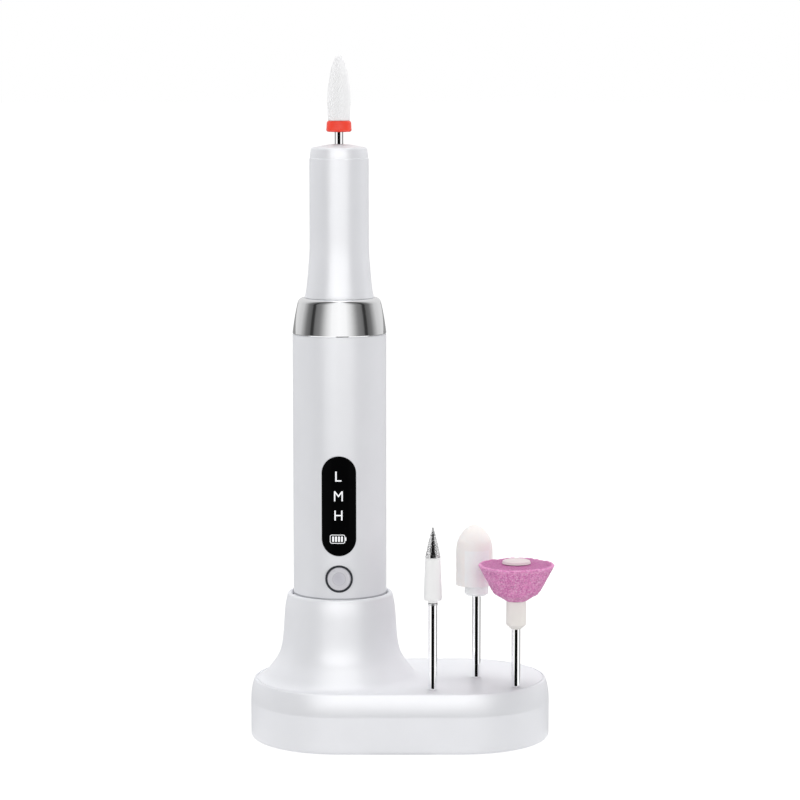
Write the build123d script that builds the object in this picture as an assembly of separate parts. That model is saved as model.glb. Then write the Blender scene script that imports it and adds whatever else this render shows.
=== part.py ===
from build123d import *
import os

# Cordless nail drill standing in its charging stand, with three spare bits in the deck.
# Millimetres, +Z up. -Y is the side with the display and button, +X the side with the spare bits.
# The origin is the middle of the stand's foot pad, on its underside.

# ---- stand ----
ARC_X = 16.8            # the stand's two round ends are centred at -ARC_X and +ARC_X
STAND_R = 24.6          # radius of the round ends at the tray
DECK_R = 23.4           # radius where the upper shell's side meets the flat deck
TRAY_Z = 0.3            # underside of the tray, just above the foot pad's face
SEAM_Z = 10.6           # tray and upper shell meet here
DECK_Z = 16.8           # flat deck
DECK_LINE_R = (22.8, 23.05)   # fine shadow line that frames the deck
DECK_LINE_DEPTH = 0.25
LIP_Z = 40.8            # top of the socket's neck
WALL = 2.2              # shell and tray wall
TONGUE_GAP = 0.15       # locating tongue to tray wall
SOCKET_R = 13.15
SOCKET_TUBE_R = 14.65
SOCKET_FLOOR_Z = 10.5
SOCKET_FLOOR = 2.0
PAD_R = 21.2
PAD_TOP_Z = 1.2
TRAY_FLOOR_Z = 2.6
POST_TOP_Z = 5.5
SCREW_X = 32.5
SCREW_Y = 9.0
SCREW_HEAD_R = 2.0
SCREW_SHANK_R = 1.0
SCREW_POST_R = 3.3
SCREW_BOSS_R = 2.6
BALLAST_R = 20.5
BALLAST_TOP_Z = 4.2
BOARD_Z = (5.0, 6.2)
BOARD_X = (-24.5, -5.0)
BOARD_Y = (-9.0, 20.5)
BOARD_PINS = ((-22.9, -7.0), (-6.6, -7.0), (-22.9, 13.0), (-6.6, 13.0))
USB_X = -14.5
USB_Z = 6.03
USB_WIDTH = 8.94
USB_HEIGHT = 3.26
USB_SHEET = 0.3
USB_DEPTH = 7.3
USB_MOUTH_Y = 24.3

# ---- handpiece ----
PEN_X = -16.6           # the handpiece's axis, nearly the same as the left round end's
BARREL_R = 12.85
BARREL_BORE = 11.35
BARREL_Z = (12.5, 112.4)
RING_TOP_Z = 122.4
HEAD_TOP_Z = 164.2
HEAD_R = 8.09
HEAD_STEP_Z = 160.3     # fine step round the head, under its dome
HEAD_STEP = 0.16
WINDOW_HALF = 4.71
WINDOW_Z = (52.8, 80.2)
LEGEND_Z = (74.7, 69.3, 64.0, 57.5)   # three speed lamps and the charge lamp
BUTTON_Z = 46.5
BUTTON_R = 3.20
BUTTON_FACE_Y = -12.9
BEZEL_R = 3.76
SWITCH_FACE_Y = -10.5   # where the button's stem meets the switch plunger
BOARD_FRONT_Y = -8.9
BOARD_BACK_Y = -7.8
CELL_R = 9.2
CELL_Y = 1.9            # the cell sits back, leaving room for the board in front
CELL_Z = (18.0, 83.0)
CRADLE_R = 11.2
CRADLE_Z = (17.0, 86.4)
CRADLE_PLATE_Z = 84.4
CAP_SCREW_X = 10.2
CONTACT_X = 2.54
CONTACT_Z = 11.15
MOTOR_Z = (88.0, 117.2)
MOTOR_R = 10.0
MOTOR_BORE = 9.2
MOTOR_FACE_Z = 116.0
BUSH_R = 2.6
MOTOR_SHAFT_R = 1.0
ARMATURE_R = 7.1
SLOT_COUNT = 5
SLOT_CIRCLE_R = 4.9
SLOT_R = 1.25
COMMUTATOR_R = 2.5
MOUNT_Z = (117.2, 119.2)
MOUNT_SCREW_X = 6.5
TUBE_R = 6.6
TUBE_BORE = 5.0
TUBE_Z = (121.0, 160.5)
BEARING_Z = (128.0, 152.0)   # lower face of each ball bearing
BEARING_WIDTH = 4.0
BALL_R = 0.55
BALL_CIRCLE_R = 3.75
BALL_COUNT = 8
BALL_GAP = 0.03
SPINDLE_R = 2.5
COLLET_R = 1.9
COLLET_Z = (140.0, 161.2)

# ---- bits ----
SHANK_R = 2.35 / 2      # standard 3/32 in shank
COLLET_CLEARANCE = 0.025
HOLE_CLEARANCE = 0.075
HOLE_FLOOR_Z = 10.8
HOLE_BOSS_R = 2.3
CONE_BIT = (8.9, -17.1)
CAP_BIT = (21.15, -1.6)
STONE_BIT = (31.65, -13.6)
CAP_OFF_CENTRE = -0.6   # the sanding cap sits a little to one side on its mandrel
FLAME_BASE_Z = 170.6
FLAME_TIP_Z = 188.5
BAND_Z = 167.5
BAND_R = 3.43

MARGIN = 1.0            # how far a cutting tool runs past the face it opens


# ---- shape helpers ----
def disc(radius, low, high, x=0.0, y=0.0):
    return Pos(x, y, (low + high) / 2) * Cylinder(radius, high - low)


def ring(outer, inner, low, high, x=0.0, y=0.0):
    return disc(outer, low, high, x, y) - disc(inner, low - MARGIN, high + MARGIN, x, y)


def block(xs, ys, zs):
    centre = Pos((xs[0] + xs[1]) / 2, (ys[0] + ys[1]) / 2, (zs[0] + zs[1]) / 2)
    return centre * Box(xs[1] - xs[0], ys[1] - ys[0], zs[1] - zs[0])


def stadium(radius, low, high):
    outline = SlotCenterToCenter(2 * ARC_X, 2 * radius)
    return extrude(Pos(0, 0, low) * outline, amount=high - low)


def turned(points, x=0.0, y=0.0):
    """A solid of revolution about the vertical line at x, y, from a closed (radius, height) outline."""
    outline = Plane.XZ * Polyline(*points, close=True)
    return Pos(x, y, 0) * revolve(make_face(outline), Axis.Z)


def upright_face(edges):
    """A face in the XZ plane from closed (radius, height) edges."""
    return make_face([Plane.XZ * edge for edge in edges])


def turned_curve(edges, x=0.0, y=0.0):
    return Pos(x, y, 0) * revolve(upright_face(edges), Axis.Z)


def barrel_plug(radius, z, front, back):
    """A cylinder that lies along Y, on the handpiece's front, between two Y values."""
    return Pos(PEN_X, (front + back) / 2, z) * Rot(90, 0, 0) * Cylinder(radius, back - front)


def pill(half_width, low, high, front, back):
    """An upright pill-shaped prism on the handpiece's front."""
    straight = high - low - 2 * half_width
    middle = (low + high) / 2
    body = block((PEN_X - half_width, PEN_X + half_width), (front, back),
                 (middle - straight / 2, middle + straight / 2))
    for z in (middle - straight / 2, middle + straight / 2):
        body += barrel_plug(half_width, z, front, back)
    return body


def group(shapes):
    """Separate solids kept side by side in one node."""
    solids = []
    for shape in shapes:
        solids.extend(shape.solids())
    return Compound(solids)


def around(shape_at, count, x=PEN_X):
    """Copies of one shape turned about the handpiece's axis; shape_at is modelled about x = 0."""
    return [Pos(x, 0, 0) * Rot(0, 0, 360 * step / count) * shape_at for step in range(count)]


# ---- stand ----
def screw_places():
    return [(sx * SCREW_X, sy * SCREW_Y) for sx in (-1, 1) for sy in (-1, 1)]


def upper_band():
    """The upper shell's outside: a convex side that leans in to a crisp deck edge."""
    side_top = (DECK_R + 0.3, DECK_Z - 0.4)
    edges = [
        Line((0, SEAM_Z), (STAND_R, SEAM_Z)),
        ThreePointArc((STAND_R, SEAM_Z), (STAND_R - 0.25, (SEAM_Z + DECK_Z) / 2 + 0.2), side_top),
        ThreePointArc(side_top, (DECK_R + 0.12, DECK_Z - 0.1), (DECK_R - 0.2, DECK_Z)),
        Line((DECK_R - 0.2, DECK_Z), (0, DECK_Z)),
        Line((0, DECK_Z), (0, SEAM_Z)),
    ]
    profile = upright_face(edges)
    end = revolve(profile, Axis.Z)
    half = extrude(Rot(0, 0, 90) * profile, amount=ARC_X, both=True)
    return Pos(-ARC_X, 0, 0) * end + Pos(ARC_X, 0, 0) * end + half + Rot(0, 0, 180) * half


def neck():
    """The flared neck that grows out of the deck and holds the handpiece."""
    shoulder = (14.62, 39.9)
    foot = (23.0, DECK_Z)
    flare = Spline(shoulder, (14.95, 38.3), (15.45, 33.5), (15.92, 27.6), (17.3, 22.7), (19.7, 19.3), foot,
                   tangents=((0.2, -1.0), (1.0, -0.12)))
    edges = [
        Line((0, DECK_Z - 1.0), (0, LIP_Z)),
        Line((0, LIP_Z), (13.75, LIP_Z)),
        ThreePointArc((13.75, LIP_Z), (14.36, 40.54), shoulder),
        flare,
        Line(foot, (23.0, DECK_Z - 1.0)),
        Line((23.0, DECK_Z - 1.0), (0, DECK_Z - 1.0)),
    ]
    return turned_curve(edges, PEN_X)


def make_stand_shell():
    deck_under = DECK_Z - WALL
    shell = upper_band() - stadium(STAND_R - WALL - 0.2, SEAM_Z - MARGIN, deck_under)
    shell += neck()
    line_inner, line_outer = DECK_LINE_R
    line_z = (DECK_Z - DECK_LINE_DEPTH, DECK_Z + MARGIN)
    shell -= stadium(line_outer, *line_z) - stadium(line_inner, line_z[0] - MARGIN, line_z[1] + MARGIN)
    shell -= turned([(SOCKET_TUBE_R, deck_under - MARGIN), (SOCKET_TUBE_R, 24.4), (15.5, 22.0), (16.9, 19.6),
                     (18.2, 18.0), (20.6, deck_under), (20.6, deck_under - MARGIN)], PEN_X)
    tongue_r = STAND_R - 2.0 - TONGUE_GAP
    shell += stadium(tongue_r, SEAM_Z - 1.4, SEAM_Z + 1.4) - stadium(tongue_r - 1.2, SEAM_Z - 3, SEAM_Z + 3)
    shell += disc(SOCKET_TUBE_R, SOCKET_FLOOR_Z - SOCKET_FLOOR, DECK_Z, PEN_X)
    for x, y in (CONE_BIT, CAP_BIT, STONE_BIT):
        shell += disc(HOLE_BOSS_R, HOLE_FLOOR_Z - 1.0, deck_under + MARGIN, x, y)
    for x, y in screw_places():
        shell += disc(SCREW_BOSS_R, POST_TOP_Z, deck_under + MARGIN, x, y)
        shell -= disc(SCREW_SHANK_R, POST_TOP_Z - MARGIN, POST_TOP_Z + 7.0, x, y)
    for x, y in (CONE_BIT, CAP_BIT, STONE_BIT):
        shell -= disc(SHANK_R + HOLE_CLEARANCE, HOLE_FLOOR_Z, DECK_Z + MARGIN, x, y)
    shell -= disc(SOCKET_R, SOCKET_FLOOR_Z, LIP_Z + MARGIN, PEN_X)
    shell -= turned([(SOCKET_R - 0.5, LIP_Z - 0.5), (SOCKET_R, LIP_Z - 0.5), (SOCKET_R + 0.35, LIP_Z),
                     (SOCKET_R + 0.35, LIP_Z + 0.5), (SOCKET_R - 0.5, LIP_Z + 0.5)], PEN_X)
    shell -= block((PEN_X - 5.2, PEN_X + 5.2), (-1.8, 1.8), (POST_TOP_Z, SOCKET_FLOOR_Z + MARGIN))
    return shell


def usb_outline(width, height):
    return RectangleRounded(width, height, height * 0.48)


def usb_prism(width, height, front, back):
    """A rounded slot shape that lies along Y at the charging inlet."""
    outline = Plane(origin=(USB_X, front, USB_Z), x_dir=(1, 0, 0), z_dir=(0, 1, 0)) * usb_outline(width, height)
    return extrude(outline, amount=back - front)


def make_stand_tray():
    tray = stadium(STAND_R, TRAY_Z, SEAM_Z)
    tray = fillet(tray.edges().group_by(Axis.Z)[0], 1.0)
    tray -= stadium(STAND_R - 2.0, TRAY_FLOOR_Z, SEAM_Z + MARGIN)
    tray -= stadium(PAD_R + 0.1, TRAY_Z - MARGIN, PAD_TOP_Z)
    for x, y in screw_places():
        tray += disc(SCREW_POST_R, TRAY_FLOOR_Z - 0.5, POST_TOP_Z, x, y)
        tray -= disc(SCREW_HEAD_R + 0.2, TRAY_Z, 3.6, x, y)
        tray -= disc(SCREW_SHANK_R + 0.1, TRAY_Z, POST_TOP_Z + MARGIN, x, y)
    for x, y in BOARD_PINS:
        tray += disc(1.5, TRAY_FLOOR_Z - 0.5, BOARD_Z[0], x, y)
        tray += disc(0.7, BOARD_Z[0] - 0.5, BOARD_Z[1] + 0.6, x, y)
    return tray - usb_prism(USB_WIDTH + 0.4, USB_HEIGHT + 0.4, STAND_R - 4, STAND_R + MARGIN)


def make_foot_pad():
    return stadium(PAD_R, 0, PAD_TOP_Z)


def make_stand_ballast():
    plate = stadium(BALLAST_R, TRAY_FLOOR_Z, BALLAST_TOP_Z)
    for x, y in screw_places():
        plate -= disc(SCREW_POST_R + 0.3, TRAY_FLOOR_Z - MARGIN, BALLAST_TOP_Z + MARGIN, x, y)
    for x, y in BOARD_PINS:
        plate -= disc(1.8, TRAY_FLOOR_Z - MARGIN, BALLAST_TOP_Z + MARGIN, x, y)
    return plate


def make_stand_screws():
    screws = []
    for x, y in screw_places():
        head = disc(SCREW_HEAD_R, 2.2, 3.6, x, y) - block((x - 1.4, x + 1.4), (y - 0.25, y + 0.25), (1.7, 2.7))
        head -= block((x - 0.25, x + 0.25), (y - 1.4, y + 1.4), (1.7, 2.7))
        screws.append(head + disc(SCREW_SHANK_R, 3.6, 11.5, x, y))
    return group(screws)


def make_charge_board():
    board = block(BOARD_X, BOARD_Y, BOARD_Z)
    board -= block((USB_X - 4.7, USB_X + 4.7), (USB_MOUTH_Y - USB_DEPTH - 0.1, BOARD_Y[1] + MARGIN), (4.0, 8.0))
    for x, y in BOARD_PINS:
        board -= disc(0.8, BOARD_Z[0] - MARGIN, BOARD_Z[1] + MARGIN, x, y)
    return board


def make_usb_socket():
    back = USB_MOUTH_Y - USB_DEPTH
    can = usb_prism(USB_WIDTH, USB_HEIGHT, back, USB_MOUTH_Y)
    inner_width = USB_WIDTH - 2 * USB_SHEET
    inner_height = USB_HEIGHT - 2 * USB_SHEET
    can -= usb_prism(inner_width, inner_height, back + 1.0, USB_MOUTH_Y + MARGIN)
    tongue = block((USB_X - 3.35, USB_X + 3.35), (back + 1.0, USB_MOUTH_Y - 0.8), (USB_Z - 0.35, USB_Z + 0.35))
    return group([can, tongue])


def make_pogo_block():
    body = block((PEN_X - 5.0, PEN_X + 5.0), (-1.6, 1.6), (BOARD_Z[1], SOCKET_FLOOR_Z - 0.2))
    for side in (-1, 1):
        x = PEN_X + side * CONTACT_X
        body -= disc(0.95, 6.6, 9.15, x)
        body -= disc(0.60, 9.0, SOCKET_FLOOR_Z + MARGIN, x)
    return body


def make_pogo_pin(side):
    x = PEN_X + side * CONTACT_X
    return disc(0.85, 8.6, 9.1, x) + disc(0.55, 9.0, CONTACT_Z - 0.05, x)


def make_pogo_spring(side):
    return ring(0.8, 0.5, 6.6, 8.6, PEN_X + side * CONTACT_X)


# ---- handpiece, outside ----
def make_barrel():
    tube = ring(BARREL_R, BARREL_BORE, *BARREL_Z, PEN_X)
    tube -= pill(WINDOW_HALF + 0.05, WINDOW_Z[0] - 0.05, WINDOW_Z[1] + 0.05, -BARREL_R - MARGIN, -8)
    return tube - barrel_plug(BEZEL_R + 0.03, BUTTON_Z, -BARREL_R - MARGIN, -8)


def make_end_cap():
    base_z = SOCKET_FLOOR_Z
    cap = turned([(0, base_z), (BARREL_R - 0.6, base_z), (BARREL_R, base_z + 0.6), (BARREL_R, BARREL_Z[0]),
                  (BARREL_BORE - 0.05, BARREL_Z[0]), (BARREL_BORE - 0.05, CRADLE_Z[0]), (9.6, CRADLE_Z[0]),
                  (9.6, 13.5), (0, 13.5)], PEN_X)
    for side in (-1, 1):
        x = PEN_X + side * CONTACT_X
        cap -= disc(1.35, base_z - MARGIN, CONTACT_Z, x)
        cap -= disc(1.15, base_z, 14.0, x)
        screw_x = PEN_X + side * CAP_SCREW_X
        cap -= disc(1.25, base_z - MARGIN, base_z + 1.0, screw_x, CELL_Y)
        cap -= disc(0.65, base_z, CRADLE_Z[0] + MARGIN, screw_x, CELL_Y)
    return cap


def make_end_cap_screws():
    screws = []
    for side in (-1, 1):
        x = PEN_X + side * CAP_SCREW_X
        head = disc(1.2, SOCKET_FLOOR_Z + 0.1, SOCKET_FLOOR_Z + 1.0, x, CELL_Y)
        screws.append(head + disc(0.6, SOCKET_FLOOR_Z + 1.0, CRADLE_Z[0] + 4.0, x, CELL_Y))
    return group(screws)


def make_charge_contacts():
    return group([disc(1.15, CONTACT_Z, 14.0, PEN_X + side * CONTACT_X) for side in (-1, 1)])


def make_chrome_ring():
    """Chromed collar: a convex shoulder from the barrel's width down to the head's foot."""
    base_z = BARREL_Z[1]
    shoulder = Spline((BARREL_R, base_z + 0.4), (12.6, 114.7), (11.99, 118.4), (11.45, 120.9))
    edges = [
        Line((11.0, base_z), (BARREL_R - 0.2, base_z)),
        Line((BARREL_R - 0.2, base_z), (BARREL_R, base_z + 0.4)),
        shoulder,
        ThreePointArc((11.45, 120.9), (11.0, 121.9), (10.1, RING_TOP_Z)),
        Line((10.1, RING_TOP_Z), (9.0, RING_TOP_Z)),
        Line((9.0, RING_TOP_Z), (9.0, MOUNT_Z[1])),
        Line((9.0, MOUNT_Z[1]), (11.0, MOUNT_Z[1])),
        Line((11.0, MOUNT_Z[1]), (11.0, base_z)),
    ]
    spigot = ring(BARREL_BORE - 0.05, 10.4, base_z - 4.4, base_z + 0.8, PEN_X)
    return turned_curve(edges, PEN_X) + spigot


def make_head_sleeve():
    """The slim front housing: it narrows from the collar and ends in a soft dome."""
    waist = (HEAD_R, 137.5)
    flare = Spline((9.53, RING_TOP_Z + 0.05), (9.1, 124.4), (8.76, 127.2), (8.42, 131.3), waist,
                   tangents=((-0.35, 1.0), (0.0, 1.0)))
    rim = (HEAD_R, HEAD_STEP_Z)
    ledge = (HEAD_R - HEAD_STEP, HEAD_STEP_Z + HEAD_STEP)
    corner = (7.72, 162.55)
    crown_edge = (7.05, 163.4)
    shoulder = Spline(ledge, (7.88, 161.6), corner, tangents=((0.0, 1.0), (-0.25, 1.0)))
    turn_in = ThreePointArc(corner, (7.5, 163.15), crown_edge)
    crown = Spline(crown_edge, (5.4, 163.68), (1.5, HEAD_TOP_Z), tangents=((-1.0, 0.12), (-1.0, 0.03)))
    edges = [
        Line((8.95, 120.4), (8.95, RING_TOP_Z + 0.05)),
        Line((8.95, RING_TOP_Z + 0.05), (9.53, RING_TOP_Z + 0.05)),
        flare,
        Line(waist, rim),
        Line(rim, ledge),
        shoulder,
        turn_in,
        crown,
        Line((1.5, HEAD_TOP_Z), (1.5, 163.0)),
        Line((1.5, 163.0), (3.2, 163.0)),
        Line((3.2, 163.0), (3.2, 160.6)),
        Line((3.2, 160.6), (6.7, 160.6)),
        Line((6.7, 160.6), (6.7, 120.4)),
        Line((6.7, 120.4), (8.95, 120.4)),
    ]
    return turned_curve(edges, PEN_X)


def make_display_window():
    return pill(WINDOW_HALF, *WINDOW_Z, -BARREL_R - MARGIN, -8) & ring(BARREL_R - 0.02, 11.95, 50, 83, PEN_X)


def make_light_box():
    """Black divider that keeps each lamp's light behind its own legend."""
    body = pill(4.0, WINDOW_Z[0] + 0.8, WINDOW_Z[1] - 0.8, -11.1, BOARD_FRONT_Y)
    for z in LEGEND_Z[:3]:
        body -= block((PEN_X - 1.8, PEN_X + 1.8), (-12, -8), (z - 1.9, z + 1.9))
    charge_z = LEGEND_Z[3]
    return body - block((PEN_X - 2.7, PEN_X + 2.7), (-12, -8), (charge_z - 1.6, charge_z + 1.6))


def make_indicator_leds():
    lamps = [(0, z) for z in LEGEND_Z[:3]] + [(-1.5, LEGEND_Z[3]), (0, LEGEND_Z[3]), (1.5, LEGEND_Z[3])]
    return group([
        block((PEN_X + x - 0.5, PEN_X + x + 0.5), (BOARD_FRONT_Y - 0.6, BOARD_FRONT_Y), (z - 0.8, z + 0.8))
        for x, z in lamps
    ])


def make_control_board():
    board = block((PEN_X - 6.5, PEN_X + 6.5), (BOARD_FRONT_Y, BOARD_BACK_Y), (38.0, 83.8))
    charger_chip = block((PEN_X - 5.0, PEN_X - 2.0), (BOARD_FRONT_Y - 0.8, BOARD_FRONT_Y), (39.0, 42.0))
    driver_chip = block((PEN_X + 1.5, PEN_X + 5.0), (BOARD_FRONT_Y - 0.9, BOARD_FRONT_Y), (39.0, 42.5))
    return group([board, charger_chip, driver_chip])


def make_tact_switch():
    body = block((PEN_X - 2.3, PEN_X + 2.3), (-10.1, BOARD_FRONT_Y), (BUTTON_Z - 2.3, BUTTON_Z + 2.3))
    return body - barrel_plug(1.1, BUTTON_Z, -11.0, -9.5)


def make_button_ring():
    bezel = barrel_plug(BEZEL_R, BUTTON_Z, BUTTON_FACE_Y - 0.1, -10.9)
    bezel -= barrel_plug(BUTTON_R + 0.05, BUTTON_Z, -14.0, -10.0)
    return bezel - barrel_plug(BUTTON_R + 0.4, BUTTON_Z, -11.55, -10.0)


def make_power_button():
    """Round key with a shallow dish, a retaining flange and a stem that presses the switch."""
    dish_r = 1.75
    dish_depth = 0.25
    ball_r = (dish_r ** 2 + dish_depth ** 2) / (2 * dish_depth)
    key = barrel_plug(BUTTON_R, BUTTON_Z, BUTTON_FACE_Y, -11.2)
    key += barrel_plug(BUTTON_R + 0.3, BUTTON_Z, -11.5, -11.0)
    key += barrel_plug(1.3, BUTTON_Z, -11.2, SWITCH_FACE_Y)
    return key - Pos(PEN_X, BUTTON_FACE_Y + dish_depth - ball_r, BUTTON_Z) * Sphere(ball_r)


def make_switch_plunger():
    return barrel_plug(1.0, BUTTON_Z, SWITCH_FACE_Y, -9.95)


# ---- handpiece, inside ----
def make_cell_cradle():
    """Two rails that hold the cell and the board, joined by a plate under the motor."""
    rails = disc(CRADLE_R, *CRADLE_Z, PEN_X) - disc(CELL_R + 0.15, 0, CRADLE_PLATE_Z, PEN_X, CELL_Y)
    rails -= block((PEN_X - 20, PEN_X + 20), (-20, BOARD_BACK_Y), (0, CRADLE_PLATE_Z))
    rails -= block((PEN_X - 20, PEN_X + 20), (6.0, 20), (0, CRADLE_PLATE_Z))
    rails -= block((PEN_X - 4.5, PEN_X + 4.5), (BOARD_BACK_Y - MARGIN, 0), (0, CRADLE_PLATE_Z))
    for side in (-1, 1):
        rails -= disc(0.6, 0, CRADLE_Z[0] + 4.5, PEN_X + side * CAP_SCREW_X, CELL_Y)
    return rails - disc(2.0, CRADLE_PLATE_Z - MARGIN, CRADLE_Z[1] + MARGIN, PEN_X, 7.5)


def make_battery_cell():
    can = disc(CELL_R, *CELL_Z, PEN_X, CELL_Y)
    return can + disc(2.8, CELL_Z[1] - 0.5, CELL_Z[1] + 1.0, PEN_X, CELL_Y)


def make_battery_tabs():
    lower = block((PEN_X - 3, PEN_X + 3), (-7.65, 4.0), (CELL_Z[0] - 0.3, CELL_Z[0]))
    lower += block((PEN_X - 3, PEN_X - 1), (-7.65, -7.35), (CELL_Z[0] - 0.3, 44.0))
    upper = block((PEN_X - 2.5, PEN_X + 3), (-7.65, 4.0), (CELL_Z[1] + 1.0, CELL_Z[1] + 1.3))
    upper += block((PEN_X + 1, PEN_X + 3), (-7.65, -7.35), (70.0, CELL_Z[1] + 1.3))
    return group([lower, upper])


def make_motor_can():
    can = ring(MOTOR_R, MOTOR_BORE, *MOTOR_Z, PEN_X)
    can += ring(MOTOR_R, BUSH_R, MOTOR_FACE_Z, MOTOR_Z[1], PEN_X)
    can += ring(BUSH_R + 0.8, BUSH_R, MOTOR_FACE_Z - 1.5, MOTOR_Z[1], PEN_X)
    for side in (-1, 1):
        can -= disc(0.8, MOTOR_FACE_Z - MARGIN, MOTOR_Z[1] + MARGIN, PEN_X + side * MOUNT_SCREW_X)
    front_bush = ring(BUSH_R, MOTOR_SHAFT_R + 0.03, MOTOR_FACE_Z - 1.5, MOTOR_Z[1], PEN_X)
    return group([can, front_bush])


def make_motor_endbell():
    base_z = MOTOR_Z[0]
    bell = ring(MOTOR_BORE, BUSH_R, base_z, base_z + 2.0, PEN_X)
    for side in (-1, 1):
        inner, outer = sorted((PEN_X + side * 3.4, PEN_X + side * 6.4))
        bell += block((inner, outer), (-1.6, 1.6), (89.5, 94.0))
        bell -= block(sorted((PEN_X + side * 2.0, PEN_X + side * 5.0)), (-0.9, 0.9), (91.0, 93.0))
    rear_bush = ring(BUSH_R, MOTOR_SHAFT_R + 0.03, base_z, base_z + 2.2, PEN_X)
    return group([bell, rear_bush])


def make_motor_magnets():
    magnets = ring(MOTOR_BORE - 0.05, 7.5, 95.0, 114.0, PEN_X)
    return magnets - block((PEN_X - 12, PEN_X + 12), (-2.6, 2.6), (90, 116))


def make_motor_brushes():
    inner = COMMUTATOR_R + 0.05
    return group([
        block(sorted((PEN_X + side * inner, PEN_X + side * 5.0)), (-0.9, 0.9), (91.0, 93.0)) for side in (-1, 1)
    ])


def make_motor_mount():
    mount = ring(10.95, 3.7, *MOUNT_Z, PEN_X)
    for side in (-1, 1):
        mount -= disc(0.85, MOUNT_Z[0] - MARGIN, MOUNT_Z[1] + MARGIN, PEN_X + side * MOUNT_SCREW_X)
    return mount


def make_motor_mount_screws():
    screws = []
    for side in (-1, 1):
        x = PEN_X + side * MOUNT_SCREW_X
        screws.append(disc(0.8, MOTOR_FACE_Z, MOUNT_Z[1], x) + disc(1.4, MOUNT_Z[1], MOUNT_Z[1] + 1.0, x))
    return group(screws)


def make_bearing_tube():
    seat_r = 4.2
    return turned([(TUBE_R, TUBE_Z[0]), (TUBE_R, TUBE_Z[1]), (TUBE_BORE, TUBE_Z[1]), (TUBE_BORE, BEARING_Z[0]),
                   (seat_r, BEARING_Z[0]), (seat_r, TUBE_Z[0])], PEN_X)


def bearing_rings(outer, inner):
    return group([ring(outer, inner, low, low + BEARING_WIDTH, PEN_X) for low in BEARING_Z])


def make_bearing_outer_rings():
    return bearing_rings(TUBE_BORE, BALL_CIRCLE_R + BALL_R + BALL_GAP)


def make_bearing_inner_rings():
    return bearing_rings(BALL_CIRCLE_R - BALL_R - BALL_GAP, SPINDLE_R)


def make_bearing_balls():
    balls = []
    for low in BEARING_Z:
        balls.extend(around(Pos(BALL_CIRCLE_R, 0, low + BEARING_WIDTH / 2) * Sphere(BALL_R), BALL_COUNT))
    return group(balls)


def make_bearing_nut():
    top = BEARING_Z[1] + BEARING_WIDTH
    return ring(TUBE_BORE, 3.5, top, top + 1.8, PEN_X)


def make_dust_seal():
    return ring(TUBE_BORE, SPINDLE_R + 0.2, 158.3, 159.9, PEN_X)


# ---- turning parts ----
def make_motor_shaft():
    return disc(MOTOR_SHAFT_R, 87.2, 122.2, PEN_X)


def make_armature_core():
    core = ring(ARMATURE_R, MOTOR_SHAFT_R, 97.0, 111.0, PEN_X)
    for slot in around(disc(SLOT_R, 90, 120, SLOT_CIRCLE_R), SLOT_COUNT):
        core -= slot
    return core


def make_armature_windings():
    coils = ring(6.3, 2.2, 95.4, 97.0, PEN_X) + ring(6.3, 2.2, 111.0, 113.0, PEN_X)
    for slot in around(disc(SLOT_R, 96.0, 112.0, SLOT_CIRCLE_R), SLOT_COUNT):
        coils += slot
    return coils


def make_commutator():
    return ring(COMMUTATOR_R, MOTOR_SHAFT_R, 90.6, 93.4, PEN_X)


def make_shaft_coupling():
    sleeve = disc(3.4, 119.6, 126.6, PEN_X)
    return sleeve - disc(MOTOR_SHAFT_R, 119.0, 122.2, PEN_X) - disc(1.5, 122.9, 127.0, PEN_X)


def make_spindle():
    body = disc(1.5, 122.9, 128.0, PEN_X)
    body += disc(SPINDLE_R, 127.2, 160.0, PEN_X)
    body += disc(3.0, BEARING_Z[0] + BEARING_WIDTH, BEARING_Z[1], PEN_X)
    return body - disc(COLLET_R, COLLET_Z[0], 161.0, PEN_X)


def make_collet():
    """Split steel collet that grips the bit's shank."""
    body = disc(COLLET_R, COLLET_Z[0], 160.0, PEN_X) + disc(2.4, 160.0, COLLET_Z[1], PEN_X)
    body -= disc(SHANK_R + COLLET_CLEARANCE, COLLET_Z[0] + 1.0, COLLET_Z[1] + MARGIN, PEN_X)
    slit = block((0, 4.0), (-0.15, 0.15), (152.0, COLLET_Z[1] + MARGIN))
    for cut in around(slit, 3):
        body -= cut
    return body


# ---- bits ----
def make_flame_bit_shank():
    return disc(SHANK_R, COLLET_Z[0] + 1.0, 174.0, PEN_X)


def make_flame_bit_band():
    top = FLAME_BASE_Z
    edges = [
        Line((SHANK_R, BAND_Z), (BAND_R - 0.7, BAND_Z)),
        ThreePointArc((BAND_R - 0.7, BAND_Z), (BAND_R - 0.1, BAND_Z + 0.25), (BAND_R, BAND_Z + 0.9)),
        Line((BAND_R, BAND_Z + 0.9), (BAND_R - 0.08, top - 0.85)),
        ThreePointArc((BAND_R - 0.08, top - 0.85), (BAND_R - 0.27, top - 0.25), (BAND_R - 0.8, top)),
        Line((BAND_R - 0.8, top), (SHANK_R, top)),
        Line((SHANK_R, top), (SHANK_R, BAND_Z)),
    ]
    return turned_curve(edges, PEN_X)


def make_flame_bit_head():
    flame = Spline((2.9, FLAME_BASE_Z), (3.2, 175.6), (2.88, 180.0), (2.41, 183.4), (1.79, 185.6), (0.79, 187.8),
                   (0.0, FLAME_TIP_Z), tangents=((0.06, 1.0), (-1.0, 0.35)))
    edges = [
        flame,
        Line((0, FLAME_TIP_Z), (0, 174.0)),
        Line((0, 174.0), (SHANK_R, 174.0)),
        Line((SHANK_R, 174.0), (SHANK_R, FLAME_BASE_Z)),
        Line((SHANK_R, FLAME_BASE_Z), (2.9, FLAME_BASE_Z)),
    ]
    return turned_curve(edges, PEN_X)


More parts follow.
